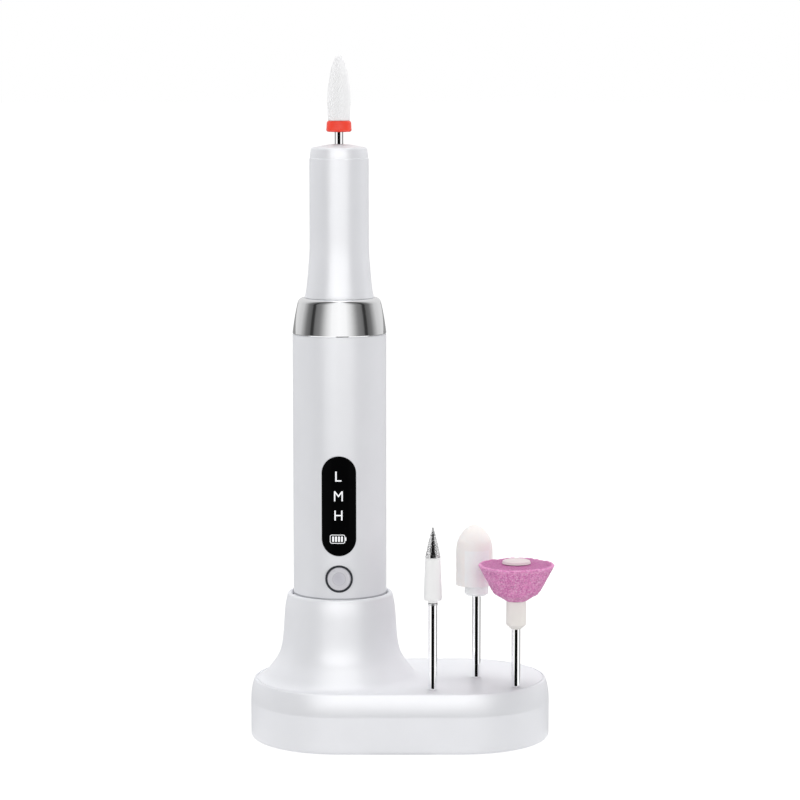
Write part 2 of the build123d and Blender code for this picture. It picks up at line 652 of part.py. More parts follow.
def make_cone_bit_shank():
    """Steel shank with its diamond-coated cone in one piece."""
    return turned([(0, HOLE_FLOOR_Z), (SHANK_R, HOLE_FLOOR_Z), (SHANK_R, 53.3), (2.0, 53.3), (1.65, 55.0),
                   (0.95, 58.2), (0.12, 61.4), (0, 61.4)], *CONE_BIT)


def make_cone_bit_sleeve():
    return turned([(SHANK_R, 40.1), (1.28, 40.1), (1.28, 41.3), (2.3, 41.6), (2.48, 42.2), (2.08, 52.9),
                   (1.85, 53.3), (SHANK_R, 53.3)], *CONE_BIT)


def make_cap_bit_shank():
    return disc(SHANK_R, HOLE_FLOOR_Z, 50.0, *CAP_BIT)


def make_cap_bit_mandrel():
    """Moulded mandrel: a collar below and a core that fills the cap."""
    return turned([(SHANK_R, 40.05), (2.65, 40.05), (3.24, 40.6), (3.24, 42.9), (3.7, 42.9), (3.7, 53.0),
                   (3.0, 55.6), (1.6, 57.2), (0, 57.6), (0, 50.0), (SHANK_R, 50.0)], *CAP_BIT)


def make_sanding_cap():
    wall_in = 4.45
    edges = [
        Line((wall_in, 42.9), (5.07, 42.9)),
        Line((5.07, 42.9), (5.07, 51.5)),
        Spline((5.07, 51.5), (4.98, 53.4), (4.38, 55.8), (2.9, 58.0), (0, 59.75),
               tangents=((0.0, 1.0), (-1.0, 0.1))),
        Line((0, 59.75), (0, 58.4)),
        Spline((0, 58.4), (2.6, 57.2), (wall_in, 51.0), tangents=((1.0, -0.05), (0.0, -1.0))),
        Line((wall_in, 51.0), (wall_in, 42.9)),
    ]
    return turned_curve(edges, CAP_BIT[0] + CAP_OFF_CENTRE, CAP_BIT[1])


def make_stone_bit_shank():
    return disc(SHANK_R, HOLE_FLOOR_Z, 51.0, *STONE_BIT)


def make_stone_bit_hub():
    return turned([(SHANK_R, 32.9), (1.35, 32.9), (2.69, 34.1), (2.69, 40.7), (SHANK_R, 40.7)], *STONE_BIT)


def make_stone_bit_stone():
    """Grinding stone: a wide inverted cone with a narrow foot."""
    return turned([(SHANK_R, 40.7), (2.84, 40.7), (6.2, 42.6), (10.2, 50.0), (10.44, 50.7), (10.1, 51.1),
                   (SHANK_R, 51.0)], *STONE_BIT)


def make_stone_bit_washer():
    return turned([(0, 51.0), (3.93, 51.06), (3.7, 51.7), (3.0, 51.95), (0, 52.0)], *STONE_BIT)


NODES = {
    "stand_shell": make_stand_shell,
    "stand_tray": make_stand_tray,
    "foot_pad": make_foot_pad,
    "stand_ballast": make_stand_ballast,
    "stand_screws": make_stand_screws,
    "charge_board": make_charge_board,
    "usb_socket": make_usb_socket,
    "pogo_block": make_pogo_block,
    "barrel": make_barrel,
    "end_cap": make_end_cap,
    "end_cap_screws": make_end_cap_screws,
    "charge_contacts": make_charge_contacts,
    "chrome_ring": make_chrome_ring,
    "head_sleeve": make_head_sleeve,
    "display_window": make_display_window,
    "light_box": make_light_box,
    "indicator_leds": make_indicator_leds,
    "control_board": make_control_board,
    "tact_switch": make_tact_switch,
    "button_ring": make_button_ring,
    "power_button": make_power_button,
    "switch_plunger": make_switch_plunger,
    "cell_cradle": make_cell_cradle,
    "battery_cell": make_battery_cell,
    "battery_tabs": make_battery_tabs,
    "motor_can": make_motor_can,
    "motor_endbell": make_motor_endbell,
    "motor_magnets": make_motor_magnets,
    "motor_brushes": make_motor_brushes,
    "motor_mount": make_motor_mount,
    "motor_mount_screws": make_motor_mount_screws,
    "bearing_tube": make_bearing_tube,
    "bearing_outer_rings": make_bearing_outer_rings,
    "bearing_inner_rings": make_bearing_inner_rings,
    "bearing_balls": make_bearing_balls,
    "bearing_nut": make_bearing_nut,
    "dust_seal": make_dust_seal,
    "motor_shaft": make_motor_shaft,
    "armature_core": make_armature_core,
    "armature_windings": make_armature_windings,
    "commutator": make_commutator,
    "shaft_coupling": make_shaft_coupling,
    "spindle": make_spindle,
    "collet": make_collet,
    "flame_bit_shank": make_flame_bit_shank,
    "flame_bit_band": make_flame_bit_band,
    "flame_bit_head": make_flame_bit_head,
    "cone_bit_shank": make_cone_bit_shank,
    "cone_bit_sleeve": make_cone_bit_sleeve,
    "cap_bit_shank": make_cap_bit_shank,
    "cap_bit_mandrel": make_cap_bit_mandrel,
    "sanding_cap": make_sanding_cap,
    "stone_bit_shank": make_stone_bit_shank,
    "stone_bit_hub": make_stone_bit_hub,
    "stone_bit_stone": make_stone_bit_stone,
    "stone_bit_washer": make_stone_bit_washer,
}

os.makedirs("parts", exist_ok=True)
for node, make in NODES.items():
    export_step(make(), f"parts/{node}.step")
for name, side in (("left", -1), ("right", 1)):
    export_step(make_pogo_pin(side), f"parts/pogo_pin_{name}.step")
    export_step(make_pogo_spring(side), f"parts/pogo_spring_{name}.step")
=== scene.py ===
"""Finishes and detailed pieces of a cordless nail drill that stands in its charging stand.

Metres, +Z up. The display and the button face -Y, and the three spare bits stand on the +X side.
"""

import math

import bpy
from bpy.props import FloatProperty, FloatVectorProperty, IntProperty, PointerProperty
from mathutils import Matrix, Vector, noise


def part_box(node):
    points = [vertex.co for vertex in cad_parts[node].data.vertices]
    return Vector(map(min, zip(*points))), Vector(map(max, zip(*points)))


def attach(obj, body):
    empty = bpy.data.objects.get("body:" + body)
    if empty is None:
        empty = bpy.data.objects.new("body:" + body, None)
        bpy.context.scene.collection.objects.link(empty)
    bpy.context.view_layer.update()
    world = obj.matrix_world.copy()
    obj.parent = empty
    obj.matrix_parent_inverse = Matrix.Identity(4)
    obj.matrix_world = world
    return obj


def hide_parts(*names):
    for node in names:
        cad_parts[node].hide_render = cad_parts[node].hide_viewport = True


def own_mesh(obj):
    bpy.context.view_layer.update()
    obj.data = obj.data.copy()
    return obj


bl_info = {
    "name": "Nail drill and charging stand",
    "version": (1, 0, 0),
    "blender": (4, 5, 0),
    "location": "View3D > Sidebar > Nail Drill",
    "description": "Finishes and detailed pieces of a cordless nail drill on its charging stand",
    "category": "Object",
}

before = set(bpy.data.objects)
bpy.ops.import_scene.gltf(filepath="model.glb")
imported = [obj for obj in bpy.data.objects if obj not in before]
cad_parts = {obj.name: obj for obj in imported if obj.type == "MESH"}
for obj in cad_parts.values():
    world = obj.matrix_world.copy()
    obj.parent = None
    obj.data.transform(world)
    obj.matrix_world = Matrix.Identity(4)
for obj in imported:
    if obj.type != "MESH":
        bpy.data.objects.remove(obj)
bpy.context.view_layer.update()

MM = 0.001
FULL_TURN = 2 * math.pi
FACING = (math.pi / 2, 0, 0)        # stands a flat piece up, to face the display side
WELD = 0.0005 * MM                  # points nearer than this become one
SMOOTH_ANGLE = math.radians(35)
GRAINY_ANGLE = math.radians(50)
SHANK_R = 1.175 * MM
INK = 0.04 * MM                     # thickness of the display's print


# ---- places read from the frame ----
def low(node):
    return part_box(node)[0]


def high(node):
    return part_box(node)[1]


def middle(node):
    return (low(node) + high(node)) / 2


HANDPIECE = middle("barrel")
BARREL_R = (high("barrel").x - low("barrel").x) / 2
BUTTON = middle("power_button")
WINDOW_TOP = high("display_window").z
WINDOW_FOOT = low("display_window").z
WINDOW_HALF = (high("display_window").x - low("display_window").x) / 2


def tone(red, green, blue):
    """A display colour, 0 to 255, as scene colour."""
    shares = (red / 255, green / 255, blue / 255)
    return tuple(v / 12.92 if v <= 0.04045 else ((v + 0.055) / 1.055) ** 2.4 for v in shares)


def shade(colour, factor, lift=0.0):
    """The colour made darker or lighter by a factor and a lift, and no brighter than white."""
    return tuple(min(1.0, v * factor + lift) for v in colour)


# ---- modelling, by operators ----
def start_clean():
    """Object mode with nothing selected."""
    if bpy.context.object and bpy.context.object.mode != "OBJECT":
        bpy.ops.object.mode_set(mode="OBJECT")
    bpy.ops.object.select_all(action="DESELECT")


def named(name):
    piece = bpy.context.object
    piece.name = piece.data.name = name
    return piece


def pick(piece):
    start_clean()
    piece.select_set(True)
    bpy.context.view_layer.objects.active = piece


def faced_outwards(piece, merge=True, close=False):
    """Points its faces outwards, after doubles are merged and open ends are closed where asked."""
    if piece.mode == "OBJECT":
        pick(piece)
        bpy.ops.object.mode_set(mode="EDIT")
    bpy.ops.mesh.select_all(action="SELECT")
    if merge:
        bpy.ops.mesh.remove_doubles(threshold=WELD)
    if close:
        bpy.ops.mesh.fill_holes(sides=0)
        bpy.ops.mesh.select_all(action="SELECT")
    bpy.ops.mesh.normals_make_consistent(inside=False)
    bpy.ops.object.mode_set(mode="OBJECT")
    return piece


def turned(name, outline, centre, sides, forward=False):
    """Spins an outline of (radius, height) points about an upright line through centre.
    With forward, the line lies along Y and the heights are Y values."""
    start_clean()
    bpy.ops.mesh.primitive_plane_add(size=MM)
    piece = named(name)
    bpy.ops.object.mode_set(mode="EDIT")
    bpy.ops.mesh.merge(type="CENTER")

    def at(point):
        radius, height = point
        across = centre.x + radius
        return Vector((across, height, centre.z) if forward else (across, centre.y, height))

    bpy.ops.transform.translate(value=at(outline[0]))
    for here, there in zip(outline, outline[1:]):
        bpy.ops.mesh.extrude_region_move(TRANSFORM_OT_translate={"value": at(there) - at(here)})
    bpy.ops.mesh.select_all(action="SELECT")
    axis_at = (centre.x, 0, centre.z) if forward else (centre.x, centre.y, 0)
    axis = (0, 1, 0) if forward else (0, 0, 1)
    bpy.ops.mesh.spin(steps=sides, angle=FULL_TURN, center=axis_at, axis=axis)
    return faced_outwards(piece)


def smoothed(piece, angle=SMOOTH_ANGLE):
    pick(piece)
    bpy.ops.object.shade_smooth_by_angle(angle=angle)
    return piece


def runs(points, spacing):
    """The same straight runs, with points no further apart than spacing."""
    line = [points[0]]
    for (r0, z0), (r1, z1) in zip(points, points[1:]):
        count = max(1, math.ceil(math.hypot(r1 - r0, z1 - z0) / spacing))
        line += [(r0 + (r1 - r0) * k / count, z0 + (z1 - z0) * k / count)
                 for k in range(1, count + 1)]
    return line


def between(a, b, c, d, t):
    """The value at the share t from b to c, on a smooth curve through a, b, c and d."""
    return 0.5 * (2 * b + (c - a) * t + (2 * a - 5 * b + 4 * c - d) * t * t
                  + (3 * b - a - 3 * c + d) * t ** 3)


def flowing(points, steps):
    """A smooth line through (radius, height) points, with steps points to each stretch."""
    ends = [points[0], *points, points[-1]]
    line = [points[0]]
    for four in zip(ends, ends[1:], ends[2:], ends[3:]):
        for k in range(1, steps + 1):
            line.append(tuple(between(*values, k / steps) for values in zip(*four)))
    return line


def rounded(corner, start, stop, steps=5):
    """A quarter round from start to stop that bulges towards corner."""
    line = []
    for k in range(steps + 1):
        a = math.pi / 2 * k / steps
        line.append(tuple(c + (s - c) * (1 - math.sin(a)) + (e - c) * (1 - math.cos(a))
                          for c, s, e in zip(corner, start, stop)))
    return line


def above(foot, *points):
    """(radius, height) points given in millimetres, as metres above this foot."""
    return [(radius * MM, foot + height * MM) for radius, height in points]


def move_points(piece, place):
    """Moves each point of a finished piece to where place(point) puts it."""
    for vertex in piece.data.vertices:
        vertex.co = place(vertex.co)
    piece.data.update()


def roughened(piece, grain, depth, where=lambda point: 1.0, seed=0.0):
    """Pushes each point inwards unevenly: grain is the size of a grain, depth the deepest pit."""
    normals = [vertex.normal.copy() for vertex in piece.data.vertices]
    shift = Vector((seed, -seed, seed / 2))
    for vertex, normal in zip(piece.data.vertices, normals):
        coarse = noise.noise(vertex.co / grain + shift)
        fine = noise.noise(vertex.co * 2.3 / grain - shift)
        pit = min(1.0, max(0.0, 0.5 + 0.75 * coarse + 0.35 * fine))
        vertex.co -= normal * depth * pit * where(vertex.co)
    piece.data.update()


def plate(name, width, height, x, z, corner=0.0, wall=0.0):
    """A flat upright plate that faces the display side.
    corner is the radius of its corners, and wall leaves only a rim of that width."""
    start_clean()
    bpy.ops.mesh.primitive_plane_add(size=1, location=(x, 0, z), rotation=FACING)
    piece = named(name)
    piece.scale = (width, height, 1)
    bpy.ops.object.transform_apply(location=True, rotation=True, scale=True)
    bpy.ops.object.mode_set(mode="EDIT")
    bpy.ops.mesh.select_all(action="SELECT")
    if corner:
        bpy.ops.mesh.bevel(offset=corner, segments=14, affect="VERTICES")
        bpy.ops.mesh.select_all(action="SELECT")
        bpy.ops.mesh.remove_doubles(threshold=WELD)
    if wall:
        bpy.ops.mesh.select_all(action="SELECT")
        bpy.ops.mesh.inset(thickness=wall, depth=0)
        bpy.ops.mesh.delete(type="FACE")
    bpy.ops.object.mode_set(mode="OBJECT")
    return piece


def wrapped_on_barrel(piece, radius, thickness):
    """Bends a flat upright piece round the handpiece and gives it its thickness inwards."""
    cut_spacing = 0.35 * MM
    pick(piece)
    left = min(v.co.x for v in piece.data.vertices)
    right = max(v.co.x for v in piece.data.vertices)
    bpy.ops.object.mode_set(mode="EDIT")
    for k in range(1, math.floor((right - left) / cut_spacing) + 1):
        bpy.ops.mesh.select_all(action="SELECT")
        bpy.ops.mesh.bisect(plane_co=(left + k * cut_spacing, 0, 0), plane_no=(1, 0, 0))
    bpy.ops.object.mode_set(mode="OBJECT")

    def bent(point):
        across = point.x - HANDPIECE.x
        return Vector((point.x, HANDPIECE.y - math.sqrt(radius ** 2 - across ** 2), point.z))

    move_points(piece, bent)
    solid = piece.modifiers.new("thickness", "SOLIDIFY")
    solid.thickness = thickness
    solid.offset = -1
    bpy.ops.object.modifier_apply(modifier=solid.name)
    return faced_outwards(piece, merge=False)


def letter(name, text, width, height, x, z):
    """One upright capital as a flat mesh of this width and height, centred at x and z."""
    start_clean()
    bpy.ops.object.text_add()
    glyph = bpy.context.object
    glyph.data.body = text
    glyph.data.resolution_u = 4
    bpy.ops.object.convert(target="MESH")
    piece = named(name)
    xs = [v.co.x for v in piece.data.vertices]
    ys = [v.co.y for v in piece.data.vertices]
    wide, tall = width / (max(xs) - min(xs)), height / (max(ys) - min(ys))
    piece.rotation_euler = FACING
    piece.scale = (wide, tall, 1)
    piece.location = (x - (max(xs) + min(xs)) / 2 * wide, 0, z - (max(ys) + min(ys)) / 2 * tall)
    bpy.ops.object.transform_apply(location=True, rotation=True, scale=True)
    return piece


def fit(piece, body, material, replaced=()):
    """Gives a finished piece its material and its body, and hides the nodes that it stands for."""
    piece.data.materials.clear()
    piece.data.materials.append(material)
    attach(piece, body)
    if replaced:
        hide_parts(*replaced)


def cover(material, *nodes):
    """Gives CAD nodes this material."""
    for node in nodes:
        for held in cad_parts[node].material_slots:
            held.material = material


# ---- shaders ----
class Wire:
    """An output socket that turns arithmetic into Math nodes."""

    def __init__(self, finish, socket):
        self.finish = finish
        self.socket = socket

    def maths(self, operation, *values):
        return self.finish.node("Math", {"operation": operation}, dict(enumerate(values)))

    def __add__(self, other):
        return self.maths("ADD", self, other)

    def __radd__(self, other):
        return self.maths("ADD", other, self)

    def __sub__(self, other):
        return self.maths("SUBTRACT", self, other)

    def __rsub__(self, other):
        return self.maths("SUBTRACT", other, self)

    def __mul__(self, other):
        return self.maths("MULTIPLY", self, other)

    def __rmul__(self, other):
        return self.maths("MULTIPLY", other, self)

    def __truediv__(self, other):
        return self.maths("DIVIDE", self, other)

    def __pow__(self, other):
        return self.maths("POWER", self, other)

    def __abs__(self):
        return self.maths("ABSOLUTE", self)

    def step(self, start, stop):
        """0 below start, 1 above stop, and soft between."""
        return self.finish.node("MapRange", {"interpolation_type": "SMOOTHSTEP"},
                                {"Value": self, "From Min": start, "From Max": stop})


class Finish:
    """A node tree being filled: a material, or the studio's world."""

    def __init__(self, owner):
        owner.use_nodes = True
        self.owner = owner
        self.tree = owner.node_tree
        self.tree.nodes.clear()

    def plug(self, socket, value):
        if isinstance(value, Wire):
            self.tree.links.new(value.socket, socket)
        elif isinstance(value, tuple) and len(value) == 3 and socket.type == "RGBA":
            socket.default_value = (*value, 1.0)
        else:
            socket.default_value = value

    def node(self, kind, settings=None, values=None, output=0):
        node = self.tree.nodes.new("ShaderNode" + kind)
        for name, setting in (settings or {}).items():
            if name == "stops":
                self.set_stops(node.color_ramp, setting)
            else:
                setattr(node, name, setting)
        for name, value in (values or {}).items():
            self.plug(node.inputs[name], value)
        return Wire(self, node.outputs[output])

    @staticmethod
    def set_stops(ramp, stops):
        while len(ramp.elements) < len(stops):
            ramp.elements.new(0.5)
        for element, (place, level) in zip(ramp.elements, stops):
            element.position = place
            element.color = (level, level, level, 1.0)

    def place(self):
        return self.node("TexCoord", output="Object")

    def noise(self, size, detail=3.0, rough=0.55, vector=None):
        """Soft noise, 0 to 1, with lumps of this size."""
        return self.node("TexNoise", None, {"Vector": vector or self.place(), "Scale": 1 / size,
                                            "Detail": detail, "Roughness": rough})

    def streaks(self, lengths, detail=2.0, rough=0.6):
        """Noise whose lumps have these three lengths along the axes."""
        return self.noise(1.0, detail, rough, self.stretched(*lengths))

    def cells(self, size, output="Distance"):
        """Packed grains of this size: the distance from each one's middle, or its own Color."""
        return self.node("TexVoronoi", None, {"Vector": self.place(), "Scale": 1 / size}, output)

    def stretched(self, x, y, z):
        """The piece's own coordinates, divided by these lengths."""
        return self.node("Mapping", None, {"Vector": self.place(), "Scale": (1 / x, 1 / y, 1 / z)})

    def axis(self, name):
        return self.node("SeparateXYZ", None, {0: self.place()}, output=name)

    def away_from(self, centre, axes):
        """Distance from the line through centre that is square to these two axes."""
        first, second = (self.axis(name) - getattr(centre, name.lower()) for name in axes)
        return (first * first + second * second) ** 0.5

    def mix(self, factor, first, second):
        """first where factor is 0, second where it is 1."""
        return self.node("Mix", {"data_type": "RGBA"}, {0: factor, 6: first, 7: second}, output=2)

    def bump(self, height, distance, strength=1.0):
        return self.node("Bump", None,
                         {"Height": height, "Distance": distance, "Strength": strength})

    def shader(self, values, constants=None):
        surface = self.node("BsdfPrincipled", None, {**values, **(constants or {})}, output="BSDF")
        return self.end("Material", surface)

    def end(self, kind, surface):
        sink = self.tree.nodes.new("ShaderNodeOutput" + kind)
        self.plug(sink.inputs["Surface"], surface)
        return self.owner


def new_finish(name):
    return Finish(bpy.data.materials.new(name))


def softness(weight, *depths):
    """How much light goes into the material, and how deep its red, green and blue go."""
    return {"Subsurface Weight": weight, "Subsurface Radius": depths, "Subsurface Scale": 1.0}


def moulded(name, colour, roughness, mottle=0.012, coat=0.0, gap_shadow_at=None):
    """Injection-moulded plastic: an even colour with a faint cloud in it, and a fine eroded skin.
    The last argument is the height of a fine grey line: a painted shadow of the gap where the part
    stands in another."""
    f = new_finish(name)
    cloud = f.noise(9 * MM, 2.0)
    fine = f.noise(0.22 * MM, 4.0)
    base = f.mix(cloud, shade(colour, 1 - 4 * mottle), colour)
    if gap_shadow_at:
        # painted shadow: a grey line at that height stands for the dark gap round the part
        off = abs(f.axis("Z") - gap_shadow_at)
        base = f.mix(0.62 * (1 - off.step(0.12 * MM, 0.42 * MM)), base, tone(118, 119, 124))
    return f.shader({
        "Base Color": base,
        "Roughness": roughness + 0.10 * (fine - 0.5) + 0.05 * (cloud - 0.5),
        "Normal": f.bump(fine, 0.0015 * MM),
    }, {"Coat Weight": coat, "Coat Roughness": 0.12})


def machined(name, colour, roughness, pitch, depth, stain=0.04):
    """Turned metal: fine rings left by the tool, with slight stains between them."""
    f = new_finish(name)
    lines = f.streaks((40 * MM, 40 * MM, pitch))
    cloud = f.noise(2.5 * MM, 3.0)
    return f.shader({
        "Base Color": f.mix(cloud, shade(colour, 1 - 3 * stain), colour),
        "Roughness": roughness + 0.5 * roughness * (lines - 0.5) + 0.04 * (cloud - 0.5),
        "Normal": f.bump(lines, depth),
    }, {"Metallic": 1.0})


def screw_steel(name):
    return machined(name, (0.62, 0.62, 0.64), 0.28, 0.2 * MM, 0.004 * MM)


def rubbery(name, colour):
    """Matt rubber with a pebbled skin and a dusting in its hollows."""
    f = new_finish(name)
    pebbles = f.cells(0.6 * MM)
    dust = f.noise(4 * MM, 4.0)
    return f.shader({
        "Base Color": f.mix(dust.step(0.45, 0.8) * 0.5, colour, shade(colour, 1.6, 0.02)),
        "Roughness": 0.72 + 0.12 * (dust - 0.5),
        "Normal": f.bump(pebbles, 0.02 * MM, 0.6),
    })


def rolled_steel(name, colour):
    """Plated steel plate with a rolled grain and spots of tarnish."""
    f = new_finish(name)
    grain = f.streaks((6 * MM, 0.25 * MM, 1 * MM), 4.0)
    spots = f.noise(3 * MM, 5.0).step(0.58, 0.7)
    return f.shader({
        "Base Color": f.mix(spots * 0.5, colour, shade(colour, 0.6)),
        "Roughness": 0.38 + 0.2 * spots + 0.1 * (grain - 0.5),
        "Normal": f.bump(grain, 0.004 * MM),
    }, {"Metallic": 1.0})


def circuit_board(name):
    """Green solder mask over copper runs, with pale pads."""
    f = new_finish(name)
    tracks = f.node("TexBrick", {"offset": 0.5}, {
        "Vector": f.stretched(MM, MM, MM), "Color1": (0.010, 0.115, 0.045),
        "Color2": (0.014, 0.150, 0.060), "Mortar": (0.030, 0.230, 0.095), "Scale": 0.45,
        "Mortar Size": 0.045, "Brick Width": 1.4, "Row Height": 0.7})
    pads = 1 - f.cells(2.3 * MM).step(0.12, 0.15)
    cloud = f.noise(5 * MM)
    mask = f.mix(cloud * 0.25, tracks, (0.004, 0.060, 0.022))
    return f.shader({
        "Base Color": f.mix(pads, mask, (0.72, 0.70, 0.62)),
        "Roughness": 0.30 + 0.15 * (cloud - 0.5),
        "Metallic": pads * 0.8,
        "Normal": f.bump(pads, 0.02 * MM),
    })


def wound_copper(name):
    """Enamelled wire laid side by side, with painted shade in the grooves between the turns."""
    f = new_finish(name)
    bands = {"wave_type": "BANDS", "bands_direction": "Z", "wave_profile": "SIN"}
    wire = f.node("TexWave", bands, {
        "Vector": f.stretched(MM, MM, MM), "Scale": 1.6, "Distortion": 1.2, "Detail": 1.0})
    cloud = f.noise(1.5 * MM)
    return f.shader({
        # painted shade: the copper is darker in the grooves between the turns
        "Base Color": f.mix(wire * 0.6 + 0.2 * cloud, (0.26, 0.075, 0.022), (0.83, 0.36, 0.15)),
        "Roughness": 0.28 + 0.15 * (cloud - 0.5),
        "Normal": f.bump(wire, 0.05 * MM),
    }, {"Metallic": 0.9, "Coat Weight": 0.5})


def cell_wrap(name, colour):
    """Shrink-wrapped cell: a glossy film with faint drawn creases and pale end insulators."""
    f = new_finish(name)
    creases = f.streaks((1.2 * MM, 1.2 * MM, 14 * MM), 3.0, 0.5)
    height = f.axis("Z")
    foot, top = low("battery_cell").z, high("battery_cell").z
    collar = (height.step(top - 1.5 * MM, top - 1.4 * MM)
              + (1 - height.step(foot + 0.3 * MM, foot + 0.4 * MM)))
    film = f.mix(creases * 0.3, colour, shade(colour, 0.7))
    return f.shader({
        "Base Color": f.mix(collar, film, (0.75, 0.75, 0.72)),
        "Roughness": 0.25 + 0.2 * (creases - 0.5),
        "Metallic": 0.9 * collar,
        "Normal": f.bump(creases, 0.03 * MM),
    }, {"Coat Weight": 0.4})


def ferrite(name, colour):
    """Sintered magnet or laminations: matt dark grain with tiny painted glints."""
    f = new_finish(name)
    # painted glints: tiny cells lighten the dark grain
    painted_glints = f.cells(0.12 * MM, "Color")
    grain = f.noise(0.3 * MM, 4.0)
    layers = f.streaks((30 * MM, 30 * MM, 0.35 * MM), 1.0, 0.5)
    return f.shader({
        "Base Color": f.mix(painted_glints * 0.3 + layers * 0.2, colour, shade(colour, 3, 0.02)),
        "Roughness": 0.55 + 0.2 * (grain - 0.5),
        "Metallic": 0.35 + 0.3 * (grain - 0.5),
        "Normal": f.bump(grain + layers, 0.006 * MM),
    })


def chrome(name, colour, roughness):
    """Decorative chrome plate: nearly a mirror, with faint polishing swirls and a little haze."""
    f = new_finish(name)
    haze = f.noise(6 * MM, 3.0)
    swirls = f.streaks((2.5 * MM, 2.5 * MM, 0.12 * MM), 3.0)
    return f.shader({
        "Base Color": f.mix(haze, shade(colour, 0.965), colour),
        "Roughness": roughness + 0.03 * (haze - 0.5) + 0.02 * (swirls - 0.5),
        "Normal": f.bump(swirls, 0.00015 * MM),
    }, {"Metallic": 1.0})


def display_glass(name, colour):
    """Smoked lens: black, with a very faint bloom and hairline wipe marks in its gloss."""
    f = new_finish(name)
    bloom = f.noise(4 * MM, 2.0)
    wipes = f.streaks((0.4 * MM, 3 * MM, 6 * MM), 3.0, 0.7)
    return f.shader({
        "Base Color": f.mix(bloom, colour, shade(colour, 1.8)),
        "Roughness": 0.09 + 0.05 * (wipes - 0.5),
        "Normal": f.bump(wipes, 0.0002 * MM),
    }, {"Specular IOR Level": 0.01})


def lamp_print(name, colour):
    """Printed legend lit from behind: milky ink with a soft, slightly uneven glow."""
    f = new_finish(name)
    glow = f.noise(0.8 * MM, 2.0)
    ink = f.mix(glow, shade(colour, 0.93), colour)
    return f.shader({
        "Base Color": ink,
        "Emission Color": ink,
        "Roughness": 0.4 + 0.1 * (glow - 0.5),
    }, {"Emission Strength": 0.42})


def gold_contact(name):
    """Gold-flashed contact with rub marks where the pins land."""
    f = new_finish(name)
    rub = f.noise(0.5 * MM, 4.0).step(0.5, 0.72)
    return f.shader({
        "Base Color": f.mix(rub * 0.6, (0.86, 0.60, 0.22), (0.72, 0.62, 0.42)),
        "Roughness": 0.16 + 0.2 * rub,
        "Normal": f.bump(rub, 0.003 * MM),
    }, {"Metallic": 1.0})


def fired_ceramic(name, colour):
    """White zirconia: dense and satin, with faint clouds and a fine sinter speckle."""
    f = new_finish(name)
    speckle = f.noise(0.12 * MM, 3.0)
    cloud = f.noise(1.6 * MM, 2.0)
    return f.shader({
        "Base Color": f.mix(cloud, shade(colour, 0.975), colour),
        "Roughness": 0.36 + 0.14 * (speckle - 0.5),
        "Normal": f.bump(speckle, 0.004 * MM),
    }, {"Coat Weight": 0.15, "Coat Roughness": 0.25, **softness(0.15, *(0.9 * MM,) * 3)})


def band_paint(name, colour):
    """Painted identification band: satin red with faint turning lines, paler in patches,
    and darker along both edges, where the shade of the rounded edges is painted."""
    f = new_finish(name)
    lines = f.streaks((20 * MM, 20 * MM, 0.12 * MM))
    height = f.axis("Z")
    foot, top = low("flame_bit_band").z, high("flame_bit_band").z
    # painted shade: the band darkens along its top and bottom edges
    edge = (height.step(top - 0.30 * MM, top - 0.05 * MM)
            + (1 - height.step(foot + 0.05 * MM, foot + 0.35 * MM)))
    cloud = f.noise(1.1 * MM)
    wear_and_highlight = f.mix(cloud * 0.35, colour, (0.95, 0.20, 0.115))
    return f.shader({
        "Base Color": f.mix(edge * 0.45, wear_and_highlight, (0.52, 0.045, 0.035)),
        "Roughness": 0.30 + 0.2 * (lines - 0.5),
        "Normal": f.bump(lines, 0.004 * MM),
    }, {"Coat Weight": 0.12, "Coat Roughness": 0.2})


def diamond_coat(name):
    """Nickel-plated diamond grit: bright facets, with painted shade in the pits between them."""
    f = new_finish(name)
    facets = f.cells(0.20 * MM, "Color")
    # painted shade: the pits between the grains are near black
    pit_shade = f.cells(0.30 * MM).step(0.42, 0.62)
    grain = f.noise(0.10 * MM, 3.0)
    nickel = f.mix(facets, (0.80, 0.80, 0.81), (1.0, 1.0, 1.0))
    return f.shader({
        "Base Color": f.mix(pit_shade * 0.70, nickel, (0.06, 0.06, 0.065)),
        "Roughness": 0.10 + 0.16 * grain,
        "Normal": f.bump(f.cells(0.24 * MM) + 0.5 * grain, 0.035 * MM, 0.8),
    }, {"Metallic": 1.0})


def sanding_cloth(name, colour, core_colour):
    """Thin grit-coated cap: pale warm grains on a shell that shows the white core faintly."""
    f = new_finish(name)
    grains = f.cells(0.16 * MM, "Color")
    lumps = f.noise(0.22 * MM, 4.0)
    cloud = f.noise(3.2 * MM, 2.0)
    core = middle("cap_bit_mandrel")
    top = high("cap_bit_mandrel").z - 4.6 * MM
    beside = 1 - abs(f.axis("X") - core.x).step(3.15 * MM, 3.6 * MM)
    showing = beside * (1 - f.axis("Z").step(top - 0.25 * MM, top + 0.25 * MM))
    warm = f.mix(cloud, colour, shade(colour, 1.03))
    grained = f.mix(grains * 0.18, warm, shade(colour, 0.86))
    return f.shader({
        "Base Color": f.mix(showing * 0.62, grained, core_colour),
        "Roughness": 0.70 + 0.15 * (lumps - 0.5),
        "Normal": f.bump(lumps + 0.4 * grains, 0.03 * MM, 0.7),
    }, softness(0.25, 1.0 * MM, 0.8 * MM, 0.7 * MM))


